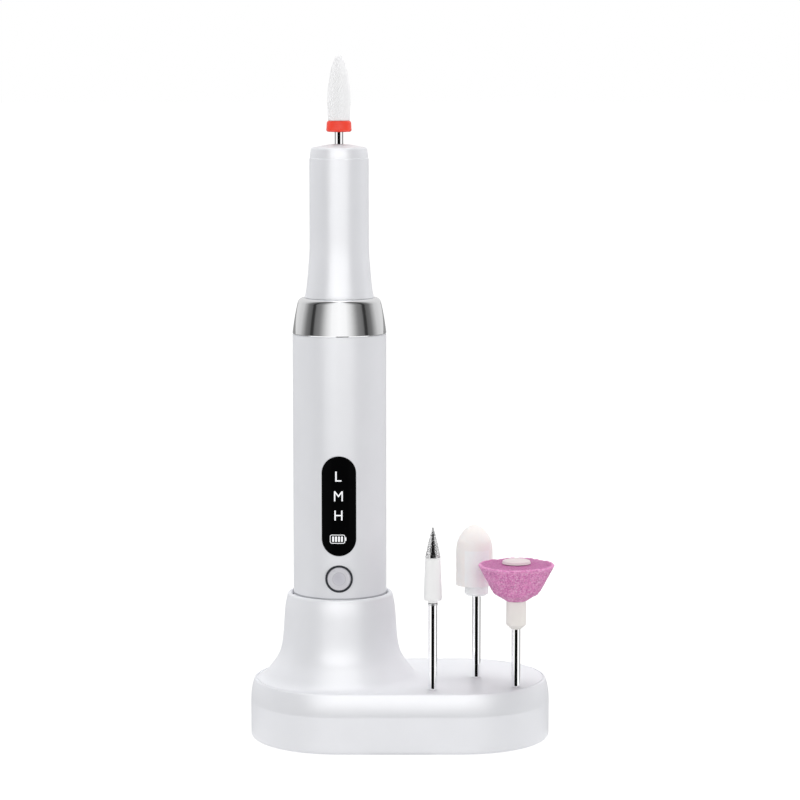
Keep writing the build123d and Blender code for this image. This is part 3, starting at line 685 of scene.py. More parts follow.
def bit_sleeve(name, colour):
    """White moulded sleeve over a turned ferrule, a bright ring at its narrow foot, with a dark
    line of painted shade where the ferrule has a groove.
    """
    f = new_finish(name)
    skin = f.noise(0.4 * MM, 4.0)
    rise = f.axis("Z") - low("cone_bit_sleeve").z
    ferrule = 1 - rise.step(0.72 * MM, 0.80 * MM)
    # painted shade: a dark ring on the ferrule stands for the shade in its groove
    groove = 1 - abs(rise - 0.62 * MM).step(0.04 * MM, 0.16 * MM)
    steel = f.mix(groove, (0.72, 0.72, 0.73), (0.08, 0.08, 0.085))
    white = f.mix(skin * 0.5, colour, shade(colour, 0.94))
    return f.shader({
        "Base Color": f.mix(ferrule, white, steel),
        "Roughness": 0.36 + 0.1 * (skin - 0.5) - 0.14 * ferrule,
        "Metallic": 0.85 * ferrule,
        "Normal": f.bump(skin, 0.003 * MM),
    })


def soft_mandrel(name, colour):
    """White moulded rubber core with a satin skin."""
    f = new_finish(name)
    skin = f.noise(0.5 * MM, 4.0)
    flow = f.streaks((1.5 * MM, 1.5 * MM, 8 * MM), rough=0.5)
    return f.shader({
        "Base Color": f.mix(flow, shade(colour, 0.96), colour),
        "Roughness": 0.48 + 0.15 * (skin - 0.5),
        "Normal": f.bump(skin, 0.004 * MM),
    }, softness(0.2, *(0.8 * MM,) * 3))


def pink_corundum(name, colour, pale, deep):
    """Bonded pink stone: packed grains from pale rose to deep magenta, with painted glints and open
    pores.
    The rim is painted paler as a highlight and the top face is painted darker as shade."""
    f = new_finish(name)
    grains = f.cells(0.42 * MM, "Color")
    small = f.cells(0.20 * MM, "Color")
    edges = f.cells(0.42 * MM)
    sparks = f.node("SeparateXYZ", None, {0: f.cells(0.17 * MM, "Color")})
    # painted glints: the few brightest cells turn near white
    painted_glints = sparks.step(0.80, 0.86)
    pores = f.noise(0.5 * MM, 4.0).step(0.58, 0.70)
    cloud = f.noise(2.2 * MM, 3.0)
    out = f.away_from(middle("stone_bit_stone"), "XY")
    height = f.axis("Z")
    top = high("stone_bit_stone").z
    # painted shade darkens the flat top face, and a painted highlight makes the rim paler
    face = height.step(top - 0.75 * MM, top - 0.35 * MM) * (1 - out.step(9.2 * MM, 9.8 * MM))
    rim = height.step(top - 1.6 * MM, top - 1.2 * MM) * out.step(9.6 * MM, 9.9 * MM)
    mottled = f.mix(grains, f.mix(cloud, deep, colour), f.mix(small, colour, pale))
    sparkling = f.mix(painted_glints * 0.5, f.mix(pores * 0.6, mottled, deep), (1.0, 0.86, 0.95))
    wear_and_highlight = f.mix(rim * 0.22, sparkling, pale)
    return f.shader({
        "Base Color": f.mix(face * 0.6, wear_and_highlight, deep),
        "Roughness": 0.50 + 0.30 * (small - 0.5),
        "Normal": f.bump(edges + 0.5 * small, 0.10 * MM, 0.9),
    }, {"Coat Weight": 0.15, "Coat Roughness": 0.25,
        **softness(0.1, 0.8 * MM, 0.3 * MM, 0.6 * MM)})


def satin_key(name, colour):
    """Satin key with rings turned about its own middle, a dish painted darker as shade, and a fine
    grey line of painted shade round the dish.
    """
    f = new_finish(name)
    out = f.away_from(BUTTON, "XZ")
    rings = f.node("TexNoise", {"noise_dimensions": "1D"},
                   {"W": out / (0.05 * MM), "Scale": 1.0, "Detail": 2.0})
    # painted shade: the dish is darker than the face, and a fine grey line marks its edge
    dish = 1 - out.step(1.35 * MM, 1.85 * MM)
    line = out.step(1.62 * MM, 1.70 * MM) * (1 - out.step(1.78 * MM, 1.86 * MM))
    dish_shaded = f.mix(dish * 0.8, colour, tone(222, 221, 230))
    return f.shader({
        "Base Color": f.mix(line * 0.30, dish_shaded, tone(150, 150, 158)),
        "Roughness": 0.34 + 0.16 * (rings - 0.5),
        "Normal": f.bump(rings, 0.0012 * MM),
    }, {"Metallic": 0.08})


# ---- sizes and colours that a user would change ----
def colour_of(name, description, default):
    return FloatVectorProperty(name=name, description=description, subtype="COLOR", size=3, min=0,
                               max=1, default=default)


def length_of(name, description, default):
    return FloatProperty(name=name, description=description, subtype="DISTANCE", unit="LENGTH",
                         min=0, default=default, precision=5)


def strength_of(name, description, default):
    return FloatProperty(name=name, description=description, min=0, default=default)


class DrillShell(bpy.types.PropertyGroup):
    shell: colour_of("Shell", "White plastic of the stand and the handpiece", tone(241, 242, 246))
    foot: colour_of("Foot pad", "Rubber under the stand", tone(58, 59, 62))
    chrome: colour_of("Collar", "Chromed collar between barrel and head", (0.985, 0.99, 1.0))
    gloss: FloatProperty(name="Shell roughness", description="How matt the white plastic is",
                         subtype="FACTOR", min=0, max=1, default=0.38)


class DrillDisplay(bpy.types.PropertyGroup):
    glass: colour_of("Glass", "Smoked lens over the lamps", (0.0018, 0.0018, 0.0020))
    legend: colour_of("Legend", "Lit speed letters and charge mark", (0.93, 0.94, 0.96))
    letter_height: length_of("Letter height", "Height of the speed letters", 2.75 * MM)
    rim_width: length_of("Rim width", "Width of the bead round the lens", 0.24 * MM)
    key: colour_of("Key", "Power key", tone(236, 235, 241))
    bezel: colour_of("Bezel", "Dark ring round the power key", tone(84, 86, 92))


class DrillBits(bpy.types.PropertyGroup):
    flutes: IntProperty(name="Flutes", description="Teeth round the ceramic flame head", min=6,
                        max=60, default=24)
    flute_depth: length_of("Flute depth", "How deep the flame head's gullets are", 0.20 * MM)
    ceramic: colour_of("Ceramic", "Flame head", tone(253, 253, 254))
    band: colour_of("Band", "Identification band under the flame head", tone(250, 50, 30))
    grit_depth: length_of("Diamond grit", "Height of the grit on the cone", 0.08 * MM)
    sleeve: colour_of("Sleeve", "White sleeve of the cone bit", tone(254, 254, 254))
    cap: colour_of("Sanding cap", "Grit cloth of the cap", tone(250, 244, 241))
    mandrel: colour_of("Mandrel", "Rubber core of the sanding cap", tone(252, 254, 255))
    stone: colour_of("Stone", "Middle colour of the grinding stone", tone(226, 118, 188))
    stone_grain: length_of("Stone grain", "Size of the stone's lumps", 0.75 * MM)
    hub: colour_of("Hub", "Cream plastic hub and washer of the stone bit", tone(249, 245, 240))


class DrillStudio(bpy.types.PropertyGroup):
    camera_back: length_of("Camera distance", "How far in front of the stand the camera is", 0.749)
    camera_height: length_of("Camera height", "Height of the camera above the floor", 0.18183)
    camera_drop: FloatProperty(name="Camera tilt", description="How far the camera looks down",
                               subtype="ANGLE", unit="ROTATION", default=math.radians(6.68))
    lens: FloatProperty(name="Lens", description="Focal length on a 36 mm sensor", unit="CAMERA",
                        default=123.39)
    ambient: strength_of("Ambient", "Level of the even light from all sides", 0.585)
    bounce: strength_of("Floor bounce", "Level of the light that comes up from the floor", 0.64)
    front: strength_of("Front light", "Strength of the wide front light", 0.04)
    rear: strength_of("Side lights", "Strength of the two lights a little behind the sides", 0.25)
    sheen: strength_of("Sheen", "Strength of the soft highlight on the white shells", 2.9)
    crown: strength_of("Crown", "Strength of the highlight from above on the white shells", 1.4)
    top: strength_of("Top light", "Strength of the light from above and behind", 0.54)
    kicker: strength_of("Kicker", "Strength of the low light on the tray", 0.32)
    accent: strength_of("Accent", "Strength of the extra light on the bits", 0.21)


class DrillSettings(bpy.types.PropertyGroup):
    shell: PointerProperty(type=DrillShell)
    display: PointerProperty(type=DrillDisplay)
    bits: PointerProperty(type=DrillBits)
    studio: PointerProperty(type=DrillStudio)


def settings():
    return bpy.context.scene.nail_drill


# ---- operators ----
class NAILDRILL_OT_stand(bpy.types.Operator):
    """Finish the charging stand and wind the springs under its charging pins"""
    bl_idname = "nail_drill.stand"
    bl_label = "Charging stand"

    def execute(self, context):
        shell = settings().shell
        matter = 0.05         # the stand is a little less glossy than the handpiece
        white = moulded("stand_white", tuple(shell.shell), shell.gloss + matter)
        cover(white, "stand_shell", "stand_tray")
        cover(rubbery("foot_rubber", tuple(shell.foot)), "foot_pad")
        cover(rolled_steel("ballast_steel", (0.42, 0.42, 0.43)), "stand_ballast")
        cover(screw_steel("stand_screw_steel"), "stand_screws")
        cover(circuit_board("charge_board_mask"), "charge_board")
        can = machined("usb_steel", (0.74, 0.74, 0.76), 0.22, 0.3 * MM, 0.002 * MM)
        cover(can, "usb_socket")
        cover(moulded("pogo_black", (0.018, 0.018, 0.020), 0.45), "pogo_block")
        cover(gold_contact("pogo_gold"), "pogo_pin_left", "pogo_pin_right")
        steel = machined("pogo_spring_steel", (0.7, 0.7, 0.72), 0.25, 0.12 * MM, 0.01 * MM)
        for side in ("left", "right"):
            self.coil(side, steel)
        return {"FINISHED"}

    @staticmethod
    def coil(side, steel):
        """A coiled spring, wound at its rest length, that stands on the board under the pin that
        presses it.
        """
        tube = "pogo_spring_" + side
        centre, foot, top = middle(tube), low(tube).z, high(tube).z
        wire, turns, press = 0.14 * MM, 4, 0.8 * MM
        away = (high(tube).x - low(tube).x) / 2 - wire
        start_clean()
        bpy.ops.mesh.primitive_grid_add(x_subdivisions=turns * 24, y_subdivisions=8, size=1)
        spring = named("pogo_coil_" + side)

        def wound(point):
            along, round_wire = point.x + 0.5, (point.y + 0.5) * FULL_TURN
            turn = along * turns * FULL_TURN
            out = away + wire * math.cos(round_wire)
            rise = foot + wire + (top - foot - 2 * wire) * along + wire * math.sin(round_wire)
            return Vector((centre.x + out * math.cos(turn), centre.y + out * math.sin(turn), rise))

        move_points(spring, wound)
        faced_outwards(spring, close=True)
        smoothed(spring, math.radians(60))
        fit(spring, "stand", steel, [tube])
        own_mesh(spring)


class NAILDRILL_OT_housing(bpy.types.Operator):
    """Finish the handpiece's barrel, end cap, collar and head"""
    bl_idname = "nail_drill.housing"
    bl_label = "Handpiece housing"

    def execute(self, context):
        shell = settings().shell
        white = moulded("handpiece_white", tuple(shell.shell), shell.gloss)
        lip = high("stand_shell").z
        # painted shadow: the barrel gets a grey line at the height of the stand's lip
        gap_shaded = moulded("barrel_white", tuple(shell.shell), shell.gloss, gap_shadow_at=lip)
        cover(white, "head_sleeve", "end_cap")
        cover(gap_shaded, "barrel")
        cover(chrome("collar_chrome", tuple(shell.chrome), 0.045), "chrome_ring")
        cover(screw_steel("cap_screw_steel"), "end_cap_screws")
        cover(gold_contact("charge_contact_gold"), "charge_contacts")
        return {"FINISHED"}


class NAILDRILL_OT_display(bpy.types.Operator):
    """Build the display's rim, its lit speed letters and its charge mark"""
    bl_idname = "nail_drill.display"
    bl_label = "Display"

    def execute(self, context):
        display = settings().display
        cover(display_glass("display_glass", tuple(display.glass)), "display_window")
        lit = lamp_print("legend_ink", tuple(display.legend))
        face = BARREL_R - 0.005 * MM
        centre = HANDPIECE.x - 0.12 * MM
        tall = display.letter_height
        speeds = (("legend_low", "L", 1.7, 5.5), ("legend_medium", "M", 2.4, 10.9),
                  ("legend_high", "H", 2.2, 16.2))
        for name, text, width, drop in speeds:
            glyph = letter(name, text, width * MM, tall, centre, WINDOW_TOP - drop * MM)
            wrapped_on_barrel(glyph, face, INK)
            fit(glyph, "handpiece", lit)
        mark = self.charge_mark(HANDPIECE.x - 0.24 * MM, WINDOW_TOP - 22.7 * MM)
        wrapped_on_barrel(mark, face, INK)
        fit(mark, "handpiece", lit)
        self.rim(display.rim_width)
        return {"FINISHED"}

    def charge_mark(self, x, z):
        """A rounded battery outline with four bars and its terminal."""
        width, height, wall = 4.15 * MM, 2.45 * MM, 0.18 * MM
        case_x, terminal_x = x - 0.15 * MM, x + width / 2 + 0.02 * MM
        parts = [plate("legend_charge", width, height, case_x, z, 0.55 * MM, wall)]
        for k in range(4):
            bar_x = case_x + (k - 1.5) * 0.80 * MM
            parts.append(plate("charge_bar", 0.52 * MM, 1.45 * MM, bar_x, z, 0.06 * MM))
        parts.append(plate("charge_terminal", 0.28 * MM, 0.95 * MM, terminal_x, z, 0.08 * MM))
        start_clean()
        for part in parts:
            part.select_set(True)
        bpy.context.view_layer.objects.active = parts[0]
        bpy.ops.object.join()
        return parts[0]

    def rim(self, width):
        """A fine bright bead where the lens meets the barrel."""
        tall = WINDOW_TOP - WINDOW_FOOT + 2 * width
        wide = 2 * (WINDOW_HALF + width)
        mid_z = (WINDOW_TOP + WINDOW_FOOT) / 2
        bead = plate("window_rim", wide, tall, HANDPIECE.x, mid_z, wide / 2, width)
        wrapped_on_barrel(bead, BARREL_R + 0.05 * MM, 0.14 * MM)
        pick(bead)
        bevel = bead.modifiers.new("edge", "BEVEL")
        bevel.width = 0.045 * MM
        bevel.segments = 2
        bevel.limit_method = "ANGLE"
        bpy.ops.object.modifier_apply(modifier=bevel.name)
        smoothed(bead)
        glossy = moulded("rim_white", tuple(settings().shell.shell), 0.2, coat=0.5)
        fit(bead, "handpiece", glossy)


class NAILDRILL_OT_power_key(bpy.types.Operator):
    """Build the dished power key and the dark bezel round it"""
    bl_idname = "nail_drill.power_key"
    bl_label = "Power key"

    def execute(self, context):
        display = settings().display
        face = low("power_button").y
        stem_end = high("power_button").y - 0.03 * MM
        stem = 1.3 * MM
        dish = above(face, (0, 0.25), (0.5, 0.235), (1.0, 0.17), (1.45, 0.085), (1.72, 0.015),
                     (1.80, 0))
        groove = above(face, (2.35, 0), (2.40, 0.03), (2.48, 0.03), (2.53, 0))
        edge = rounded(*above(face, (3.2, 0), (2.98, 0), (3.2, 0.24)))
        flange = above(face, (3.2, 1.4), (3.5, 1.4), (3.5, 1.9), (1.3, 1.9))
        outline = [*dish, *groove, *edge, *flange, (stem, stem_end), (0.0, stem_end)]
        key = smoothed(turned("power_key", outline, BUTTON, 96, forward=True))
        satin = satin_key("key_satin", tuple(display.key))
        fit(key, "button", satin, ["power_button"])
        front, back = low("button_ring").y, high("button_ring").y
        inner, outer, pocket = 3.25 * MM, 3.76 * MM, 3.6 * MM
        lip = 0.16 * MM
        ring = rounded((outer, front), (outer, front + lip), (outer - lip, front))
        ring += rounded((inner, front), (inner + lip, front), (inner, front + lip))
        pocket_y = face + 1.35 * MM
        ring += [(inner, pocket_y), (pocket, pocket_y), (pocket, back), (outer, back),
                 (outer, front + lip)]
        bezel = smoothed(turned("key_bezel", ring, BUTTON, 96, forward=True))
        dark = machined("bezel_dark", tuple(display.bezel), 0.30, 0.08 * MM, 0.002 * MM)
        fit(bezel, "handpiece", dark, ["button_ring"])
        return {"FINISHED"}


class NAILDRILL_OT_flame_bit(bpy.types.Operator):
    """Build the ceramic flame head with its spiral cross-cut teeth"""
    bl_idname = "nail_drill.flame_bit"
    bl_label = "Ceramic flame bit"

    columns = 10              # points across one flute
    lean = 150.0              # how far the flutes turn, in radians to the metre
    chip_pitch = 0.95 * MM    # from one cross cut to the next, up the head
    chip_starts = 9           # cross cuts that start round the foot

    def execute(self, context):
        bits = settings().bits
        foot, tip = low("flame_bit_head").z, high("flame_bit_head").z
        axis = middle("flame_bit_head")
        tall = tip - foot
        # radius in millimetres, and share of the head's height
        profile = [(2.86, 0.0), (3.03, 0.06), (3.18, 0.20), (3.20, 0.30), (3.09, 0.43),
                   (2.88, 0.53), (2.62, 0.63), (2.33, 0.72), (1.93, 0.815), (1.45, 0.895),
                   (0.95, 0.955), (0.5, 0.985), (0.0, 1.0)]
        side = flowing([(r * MM, foot + share * tall) for r, share in profile], 10)
        side = runs(side, 0.16 * MM)
        side = [(max(0.0, r), z) for r, z in side[:-1]] + [(0.0, tip)]
        outline = [(SHANK_R, foot + 3.4 * MM), (SHANK_R, foot), *side]
        head = turned("flame_teeth", outline, axis, bits.flutes * self.columns)
        self.cut_teeth(head, axis, foot, bits.flutes, bits.flute_depth)
        smoothed(head, math.radians(28))
        ceramic = fired_ceramic("flame_ceramic", tuple(bits.ceramic))
        fit(head, "flame_bit", ceramic, ["flame_bit_head"])
        cover(band_paint("band_red", tuple(bits.band)), "flame_bit_band")
        polished = machined("shank_steel", (0.97, 0.97, 0.98), 0.05, 0.10 * MM, 0.0003 * MM, 0.015)
        cover(polished, "flame_bit_shank", "cone_bit_shank", "cap_bit_shank", "stone_bit_shank")
        return {"FINISHED"}

    def cut_teeth(self, head, axis, foot, flutes, depth):
        """Sinks the spiral gullets and the cross cuts, from above the shoulder to near the tip."""
        shoulder, bore = 0.35 * MM, 1.3 * MM
        pitch = FULL_TURN / flutes

        def cut(point):
            x, y = point.x - axis.x, point.y - axis.y
            radius = math.hypot(x, y)
            rise = point.z - foot
            if rise < shoulder or radius < 1e-6 or (radius < bore and rise < 4 * MM):
                return point
            angle = math.atan2(y, x)
            share = (angle / pitch) % 1.0
            gullet = min(share / 0.22, (1 - share) / 0.78)
            turned_by = self.lean * rise
            starts = (angle + turned_by) / FULL_TURN * self.chip_starts
            chip = (starts + rise / self.chip_pitch) % 1.0
            notch = max(0.0, 1 - abs(chip - 0.5) / 0.14)
            fade = min(1.0, (rise - shoulder) / (0.5 * MM)) * min(1.0, radius / (1.6 * MM))
            radius -= depth * fade * max(0.92 * gullet, 0.55 * notch)
            angle += turned_by
            return Vector((axis.x + radius * math.cos(angle), axis.y + radius * math.sin(angle),
                           point.z))

        move_points(head, cut)


class NAILDRILL_OT_cone_bit(bpy.types.Operator):
    """Build the diamond-coated cone over its steel blank"""
    bl_idname = "nail_drill.cone_bit"
    bl_label = "Diamond cone bit"

    def execute(self, context):
        bits = settings().bits
        axis = middle("cone_bit_shank")
        tip = high("cone_bit_shank").z
        foot = high("cone_bit_sleeve").z
        over = bits.grit_depth
        blank = above(foot, (2.0, 0), (1.65, 1.7), (0.95, 4.9)) + [(0.12 * MM, tip)]
        side = [(r + over, z) for r, z in runs(blank, 0.09 * MM)]
        point = [(0.06 * MM, tip + over), (0.0, tip + 1.2 * over)]
        hem = above(foot, (1.5, 0.02), (2.0, 0.02))
        cone = turned("diamond_cone", [*hem, *side, *point], axis, 110)
        roughened(cone, 0.16 * MM, over * 0.95, lambda p: 1.0 if p.z > foot + 0.1 * MM else 0.0)
        smoothed(cone, GRAINY_ANGLE)
        fit(cone, "cone_bit", diamond_coat("diamond_nickel"))
        cover(bit_sleeve("cone_sleeve_white", tuple(bits.sleeve)), "cone_bit_sleeve")
        return {"FINISHED"}


class NAILDRILL_OT_cap_bit(bpy.types.Operator):
    """Build the grit cap that sits on its rubber mandrel"""
    bl_idname = "nail_drill.cap_bit"
    bl_label = "Sanding cap bit"

    def execute(self, context):
        bits = settings().bits
        axis = middle("sanding_cap")
        foot, top = low("sanding_cap").z, high("sanding_cap").z
        wall = runs(above(foot, (5.0, 0), (5.07, 0.1), (5.07, 8.6)), 0.3 * MM)
        crown = above(foot, (5.07, 8.6), (4.98, 10.5), (4.72, 12.0), (4.30, 13.05), (3.6, 14.35),
                      (2.65, 15.45), (1.4, 16.4), (0, 16.85))
        dome = flowing(crown, 5)
        lining = above(foot, (0, 15.5), (1.4, 15.05), (2.6, 14.3), (3.6, 12.6), (4.2, 10.4),
                       (4.45, 8.1), (4.45, 0))
        cap = turned("cap_cloth", [*lining, *wall, *dome[1:-1], (0.0, top)], axis, 128)

        def outside(point):
            """1 on the gritted outside, 0 on the lining, which curves down from its own top."""
            away = math.hypot(point.x - axis.x, point.y - axis.y)
            lining_z = foot + 15.6 * MM - 0.6 * (away ** 2) / MM / 5
            return 1.0 if away > 4.6 * MM or point.z > lining_z else 0.0

        roughened(cap, 0.28 * MM, 0.07 * MM, outside)
        smoothed(cap, GRAINY_ANGLE)
        cloth = sanding_cloth("cap_grit", tuple(bits.cap), tuple(bits.mandrel))
        fit(cap, "cap_bit", cloth, ["sanding_cap"])
        cover(soft_mandrel("mandrel_rubber", tuple(bits.mandrel)), "cap_bit_mandrel")
        return {"FINISHED"}


class NAILDRILL_OT_stone_bit(bpy.types.Operator):
    """Build the grainy grinding stone with its uneven rim"""
    bl_idname = "nail_drill.stone_bit"
    bl_label = "Grinding stone bit"

    def execute(self, context):
        bits = settings().bits
        axis = middle("stone_bit_stone")
        foot, top = low("stone_bit_stone").z, high("stone_bit_stone").z
        side = above(foot, (2.9, 0), (3.6, 0.5), (6.2, 1.9), (10.2, 9.3), (10.44, 10.0))
        face = [(10.1 * MM, top), (8.6 * MM, top - 0.12 * MM), (SHANK_R, top - 0.12 * MM)]
        shape = [(SHANK_R, foot), *side, *face, (SHANK_R, foot)]
        stone = turned("grinding_stone", runs(shape, 0.26 * MM), axis, 210)
        self.wear(stone, axis, foot, top)

        def exposed(point):
            """1 where the stone can be seen, 0 in its bore and under its washer."""
            return 1.0 if math.hypot(point.x - axis.x, point.y - axis.y) > 2.6 * MM else 0.0

        roughened(stone, bits.stone_grain, 0.13 * MM, exposed, seed=3.1)
        roughened(stone, 0.3 * bits.stone_grain, 0.08 * MM, exposed, seed=8.7)
        smoothed(stone, math.radians(60))
        pink = tuple(bits.stone)
        corundum = pink_corundum("stone_pink", pink, tone(252, 178, 224), tone(160, 54, 130))
        fit(stone, "stone_bit", corundum, ["stone_bit_stone"])
        cover(moulded("stone_hub_cream", tuple(bits.hub), 0.42, 0.03), "stone_bit_hub")
        # the washer takes the hub's colour, made darker and pinker
        darker_pinker_hub = tuple(v * w for v, w in zip(bits.hub, (0.90, 0.80, 0.86)))
        cover(moulded("stone_washer_cream", darker_pinker_hub, 0.45, 0.04), "stone_bit_washer")
        return {"FINISHED"}

    @staticmethod
    def wear(stone, axis, foot, top):
        """Dips and chips the rim and the narrow foot."""
        edge = 1.6 * MM

        def wear_and_highlight(point):
            x, y = point.x - axis.x, point.y - axis.y
            radius = math.hypot(x, y)
            if radius < 4.2 * MM:
                return point
            way = Vector((x, y, 0)) / radius
            rim = max(0.0, (point.z - top + edge) / edge) * max(0.0, (radius - 6 * MM) / (4.4 * MM))
            dip = (0.5 + 0.5 * noise.noise(way * 2.3 + Vector((0.4, 1.7, 2.0)))
                   + 0.35 * noise.noise(way * 7.0))
            heel = max(0.0, 1 - abs(point.z - foot - 1.7 * MM) / (1.3 * MM))
            chip = 0.5 + 0.6 * noise.noise(way * 4.0 + Vector((5.0, 0.0, 1.0)))
            radius -= rim * 0.06 * MM * max(0.0, dip) + heel * 0.35 * MM * max(0.0, chip)
            drop = rim * 0.55 * MM * max(0.0, dip)
            return Vector((axis.x + way.x * radius, axis.y + way.y * radius, point.z - drop))

        move_points(stone, wear_and_highlight)


class NAILDRILL_OT_works(bpy.types.Operator):
    """Finish the motor, the battery, the boards and the spindle inside the handpiece"""
    bl_idname = "nail_drill.works"
    bl_label = "Inner works"

    def execute(self, context):
        black = moulded("works_black", (0.022, 0.022, 0.024), 0.42)
        grey = moulded("works_grey", (0.20, 0.205, 0.215), 0.5)
        turned_steel = machined("works_steel", (0.66, 0.66, 0.68), 0.22, 0.15 * MM, 0.002 * MM)
        race = machined("bearing_steel", (0.80, 0.80, 0.82), 0.08, 0.06 * MM, 0.0005 * MM)
        cover(black, "light_box", "tact_switch", "motor_endbell", "dust_seal")
        cover(grey, "cell_cradle", "switch_plunger", "shaft_coupling")
        cover(circuit_board("control_board_mask"), "control_board")
        cover(lamp_print("led_lens", (0.93, 0.94, 0.90)), "indicator_leds")
        cover(cell_wrap("cell_wrap", (0.05, 0.22, 0.55)), "battery_cell")
        nickel = machined("tab_nickel", (0.74, 0.73, 0.70), 0.3, 0.4 * MM, 0.002 * MM)
        cover(nickel, "battery_tabs")
        cover(turned_steel, "motor_can", "motor_mount", "motor_mount_screws", "bearing_tube",
              "bearing_nut", "motor_shaft", "spindle", "collet")
        cover(race, "bearing_outer_rings", "bearing_inner_rings", "bearing_balls")
        cover(ferrite("magnet_ferrite", (0.030, 0.030, 0.032)), "motor_magnets")
        cover(ferrite("lamination_iron", (0.10, 0.10, 0.105)), "armature_core")
        cover(wound_copper("winding_copper"), "armature_windings")
        copper = machined("commutator_copper", (0.80, 0.42, 0.24), 0.25, 0.1 * MM, 0.003 * MM)
        cover(copper, "commutator")
        cover(ferrite("brush_carbon", (0.020, 0.020, 0.020)), "motor_brushes")
        return {"FINISHED"}


class NAILDRILL_OT_studio(bpy.types.Operator):
    """Set the pale floor, the soft lights and the camera"""
    bl_idname = "nail_drill.studio"
    bl_label = "Studio"

    # level of what polished parts reflect, by direction: 0 is the display side, 1 the far side
    sky_levels = ((0.0, 1.0), (0.10, 0.95), (0.167, 0.72), (0.25, 0.33), (0.285, 0.22),
                  (0.355, 0.15), (0.383, 0.035), (0.414, 0.035), (0.43, 0.10), (0.50, 0.17),
                  (0.556, 0.36), (0.62, 0.58), (0.75, 0.70), (1.0, 0.74))
    floor_levels = ((0.0, 0.02), (0.10, 0.02), (0.13, 0.97), (0.48, 1.0), (0.54, 0.14), (1.0, 0.28))

    def execute(self, context):
        studio = settings().studio
        scene = context.scene
        scene.view_settings.view_transform = "Standard"
        scene.view_settings.look = "None"
        start_clean()
        bpy.ops.object.camera_add(location=(0, -studio.camera_back, studio.camera_height),
                                  rotation=(math.pi / 2 - studio.camera_drop, 0, 0))
        camera = named("camera")
        camera.data.lens = studio.lens
        camera.data.clip_start = 0.01
        camera.data.clip_end = 50
        scene.camera = camera
        self.floor(studio.bounce)
        self.sky(scene, studio.ambient)
        self.light("front", 0, 0.55, 1.0, (1.3, 0.5), 10.0 * studio.front)
        for name, azimuth in (("side_left", -108), ("side_right", 108)):
            self.light(name, azimuth, 0.28, 1.0, (0.35, 0.6), 9.5 * studio.rear)
        self.light("top", 180, 1.2, 0.15, (0.8, 0.5), 10.0 * studio.top)
        kicker = self.light("kicker", 0, 0.12, 0.8, (1.2, 0.2), 3.0 * studio.kicker)
        self.only_on(kicker, "stand_tray")
        accent = self.light("accent", 0, 0.45, 0.9, (1.2, 0.5), 10.0 * studio.accent)
        self.only_on(accent, "flame_teeth", "cap_cloth", "grinding_stone", "cone_bit_sleeve",
                     "cap_bit_mandrel", "stone_bit_hub", "stone_bit_washer", "flame_bit_band")
        for name, height, reach, size, level in (("sheen", 0.32, 1.0, (1.5, 0.62), studio.sheen),
                                                 ("crown", 0.95, 0.42, (0.9, 0.9), studio.crown)):
            lamp = self.light(name, 0, height, reach, size, 10.0 * level)
            lamp.visible_diffuse, lamp.visible_glossy = False, True
            self.only_on(lamp, "barrel", "head_sleeve", "stand_shell", "stand_tray")
        self.flags()
        return {"FINISHED"}

    @staticmethod
    def only_on(lamp, *names):
        """Lets this lamp light these pieces and nodes only."""
        lit = bpy.data.collections.new(lamp.name + "_lights")
        for name in names:
            lit.objects.link(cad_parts.get(name) or bpy.data.objects[name])
        lamp.light_linking.receiver_collection = lit

    def floor(self, bounce):
        start_clean()
        bpy.ops.mesh.primitive_plane_add(size=40)
        floor = named("studio_floor")
        f = new_finish("floor_white")
        level = self.level_by_direction(f, f.place(), self.floor_levels)
        glossy = f.node("LightPath", output="Is Glossy Ray")
        camera = f.node("LightPath", output="Is Camera Ray")
        lift = (bounce, bounce, bounce)
        shown = f.mix(camera, f.mix(glossy, lift, level), (1.0, 1.0, 1.0))
        glow = f.node("Emission", None, {"Color": shown})
        paint = f.node("BsdfDiffuse", None, {"Color": (0.12, 0.12, 0.12)})
        surface = f.node("AddShader", None, {0: glow, 1: paint})
        floor.data.materials.append(f.end("Material", surface))

    @staticmethod
    def level_by_direction(f, vector, stops):
        """A level read from stops by direction: 0 is the display side, 1 the far side."""
        x, y = (f.node("SeparateXYZ", None, {0: vector}, output=name) for name in "XY")
        turn = abs(x.maths("ARCTAN2", x, 0 - y)) / math.pi
        return f.node("ValToRGB", {"stops": stops}, {"Fac": turn})

    def sky(self, scene, ambient):
        world = bpy.data.worlds.new("studio_sky")
        scene.world = world
        f = Finish(world)
        level = self.level_by_direction(f, f.node("TexCoord", output="Generated"), self.sky_levels)
        camera = f.node("LightPath", output="Is Camera Ray")
        glossy = f.node("LightPath", output="Is Glossy Ray")
        even = f.mix(glossy, (ambient, ambient, ambient), level)
        shown = f.mix(camera, even, (1.0, 1.0, 1.0))
        f.end("World", f.node("Background", None, {"Color": shown, "Strength": 1.0}))

    @staticmethod
    def light(name, azimuth, height, reach, size, power):
        """A soft panel that looks at the drill; azimuth is 0 on the display side, in degrees."""
        way = math.radians(azimuth)
        place = Vector((math.sin(way) * reach, -math.cos(way) * reach, height))
        aim = Vector((0, 0, 0.08)) - place
        bpy.ops.object.light_add(type="AREA", location=place,
                                 rotation=aim.to_track_quat("-Z", "Y").to_euler())
        lamp = bpy.context.object
        lamp.name = lamp.data.name = name
        lamp.data.shape = "RECTANGLE"
        lamp.data.size, lamp.data.size_y = size
        lamp.data.energy = power
        lamp.visible_glossy = False
        return lamp

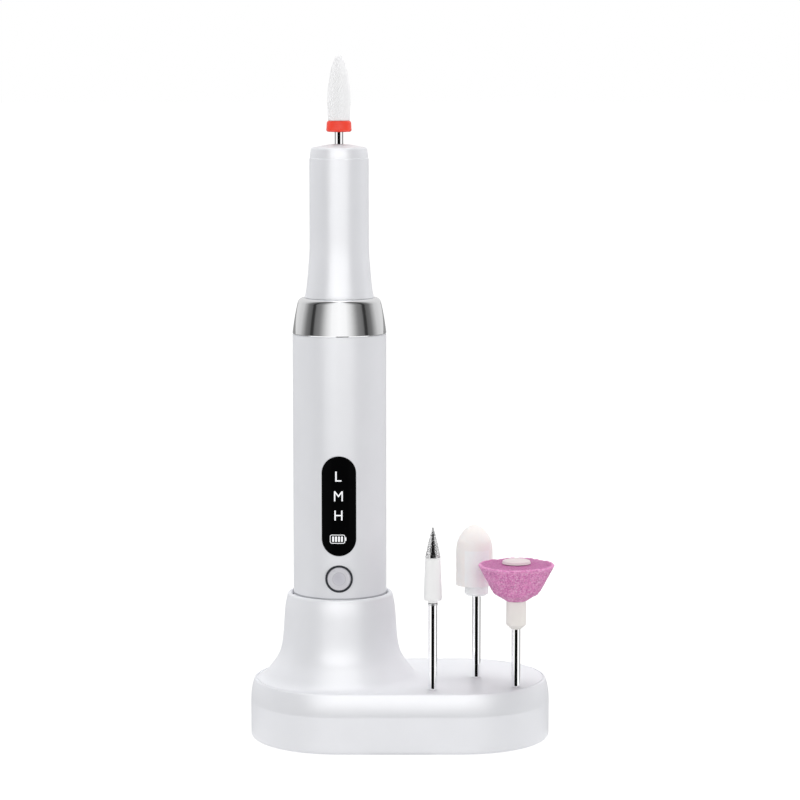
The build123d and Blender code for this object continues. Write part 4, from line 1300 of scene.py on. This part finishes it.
    def flags(self):
        """Cards that only polished parts see: black ones in front of the shanks and of the diamond
        cone, and white ones on both sides of the cone."""
        black = self.card_finish("card_black", 0.004)
        white = self.card_finish("card_white", 0.96)
        hole, nose = low("cone_bit_shank").z, high("head_sleeve").z - 0.2 * MM
        for bit, foot, holder in (("cone_bit", hole, "sleeve"), ("cap_bit", hole, "mandrel"),
                                  ("stone_bit", hole, "hub"), ("flame_bit", nose, "band")):
            shank = middle(bit + "_shank")
            heights = (foot, low(bit + "_" + holder).z)
            self.card(bit + "_flag", (shank.x, shank.y - 2.7 * MM), 3.4 * MM, heights, 0, black)
        axis = middle("cone_bit_shank")
        away = 5 * MM
        heights = (high("cone_bit_sleeve").z + 0.4 * MM, high("cone_bit_shank").z + 2.5 * MM)
        self.card("cone_flag", (axis.x, axis.y - away), 7.0 * MM, heights, 0, black)
        for name, side in (("cone_card_left", -away), ("cone_card_right", away)):
            self.card(name, (axis.x + side, axis.y), 10 * MM, heights, 90, white)

    @staticmethod
    def card_finish(name, level):
        f = new_finish(name)
        return f.end("Material", f.node("Emission", None, {"Color": (level, level, level)}))

    @staticmethod
    def card(name, place, width, heights, turn, finish):
        """An upright card at (x, y), turned about its upright middle line by so many degrees."""
        foot, top = heights
        start_clean()
        bpy.ops.mesh.primitive_plane_add(size=1, location=(*place, (foot + top) / 2),
                                         rotation=(math.pi / 2, 0, math.radians(turn)))
        card = named(name)
        card.scale = (width, top - foot, 1)
        card.visible_camera = card.visible_diffuse = card.visible_shadow = False
        card.data.materials.append(finish)


class NAILDRILL_PT_panel(bpy.types.Panel):
    bl_label = "Nail drill"
    bl_idname = "NAILDRILL_PT_panel"
    bl_space_type = "VIEW_3D"
    bl_region_type = "UI"
    bl_category = "Nail Drill"

    def draw(self, context):
        layout = self.layout
        for title, group in (("Shell", settings().shell), ("Display and key", settings().display),
                             ("Bits", settings().bits), ("Studio", settings().studio)):
            box = layout.box()
            box.label(text=title)
            for name in group.__annotations__:
                box.prop(group, name)
        for operator in OPERATORS:
            layout.operator(operator.bl_idname)


GROUPS = (DrillShell, DrillDisplay, DrillBits, DrillStudio, DrillSettings)
OPERATORS = (NAILDRILL_OT_stand, NAILDRILL_OT_housing, NAILDRILL_OT_display,
             NAILDRILL_OT_power_key, NAILDRILL_OT_flame_bit, NAILDRILL_OT_cone_bit,
             NAILDRILL_OT_cap_bit, NAILDRILL_OT_stone_bit, NAILDRILL_OT_works, NAILDRILL_OT_studio)


def register():
    for kind in (*GROUPS, *OPERATORS, NAILDRILL_PT_panel):
        bpy.utils.register_class(kind)
    bpy.types.Scene.nail_drill = PointerProperty(type=DrillSettings)


def unregister():
    del bpy.types.Scene.nail_drill
    for kind in reversed((*GROUPS, *OPERATORS, NAILDRILL_PT_panel)):
        bpy.utils.unregister_class(kind)


def main():
    register()
    for operator in OPERATORS:
        group, name = operator.bl_idname.split(".")
        getattr(getattr(bpy.ops, group), name)()


if __name__ == "__main__":
    main()
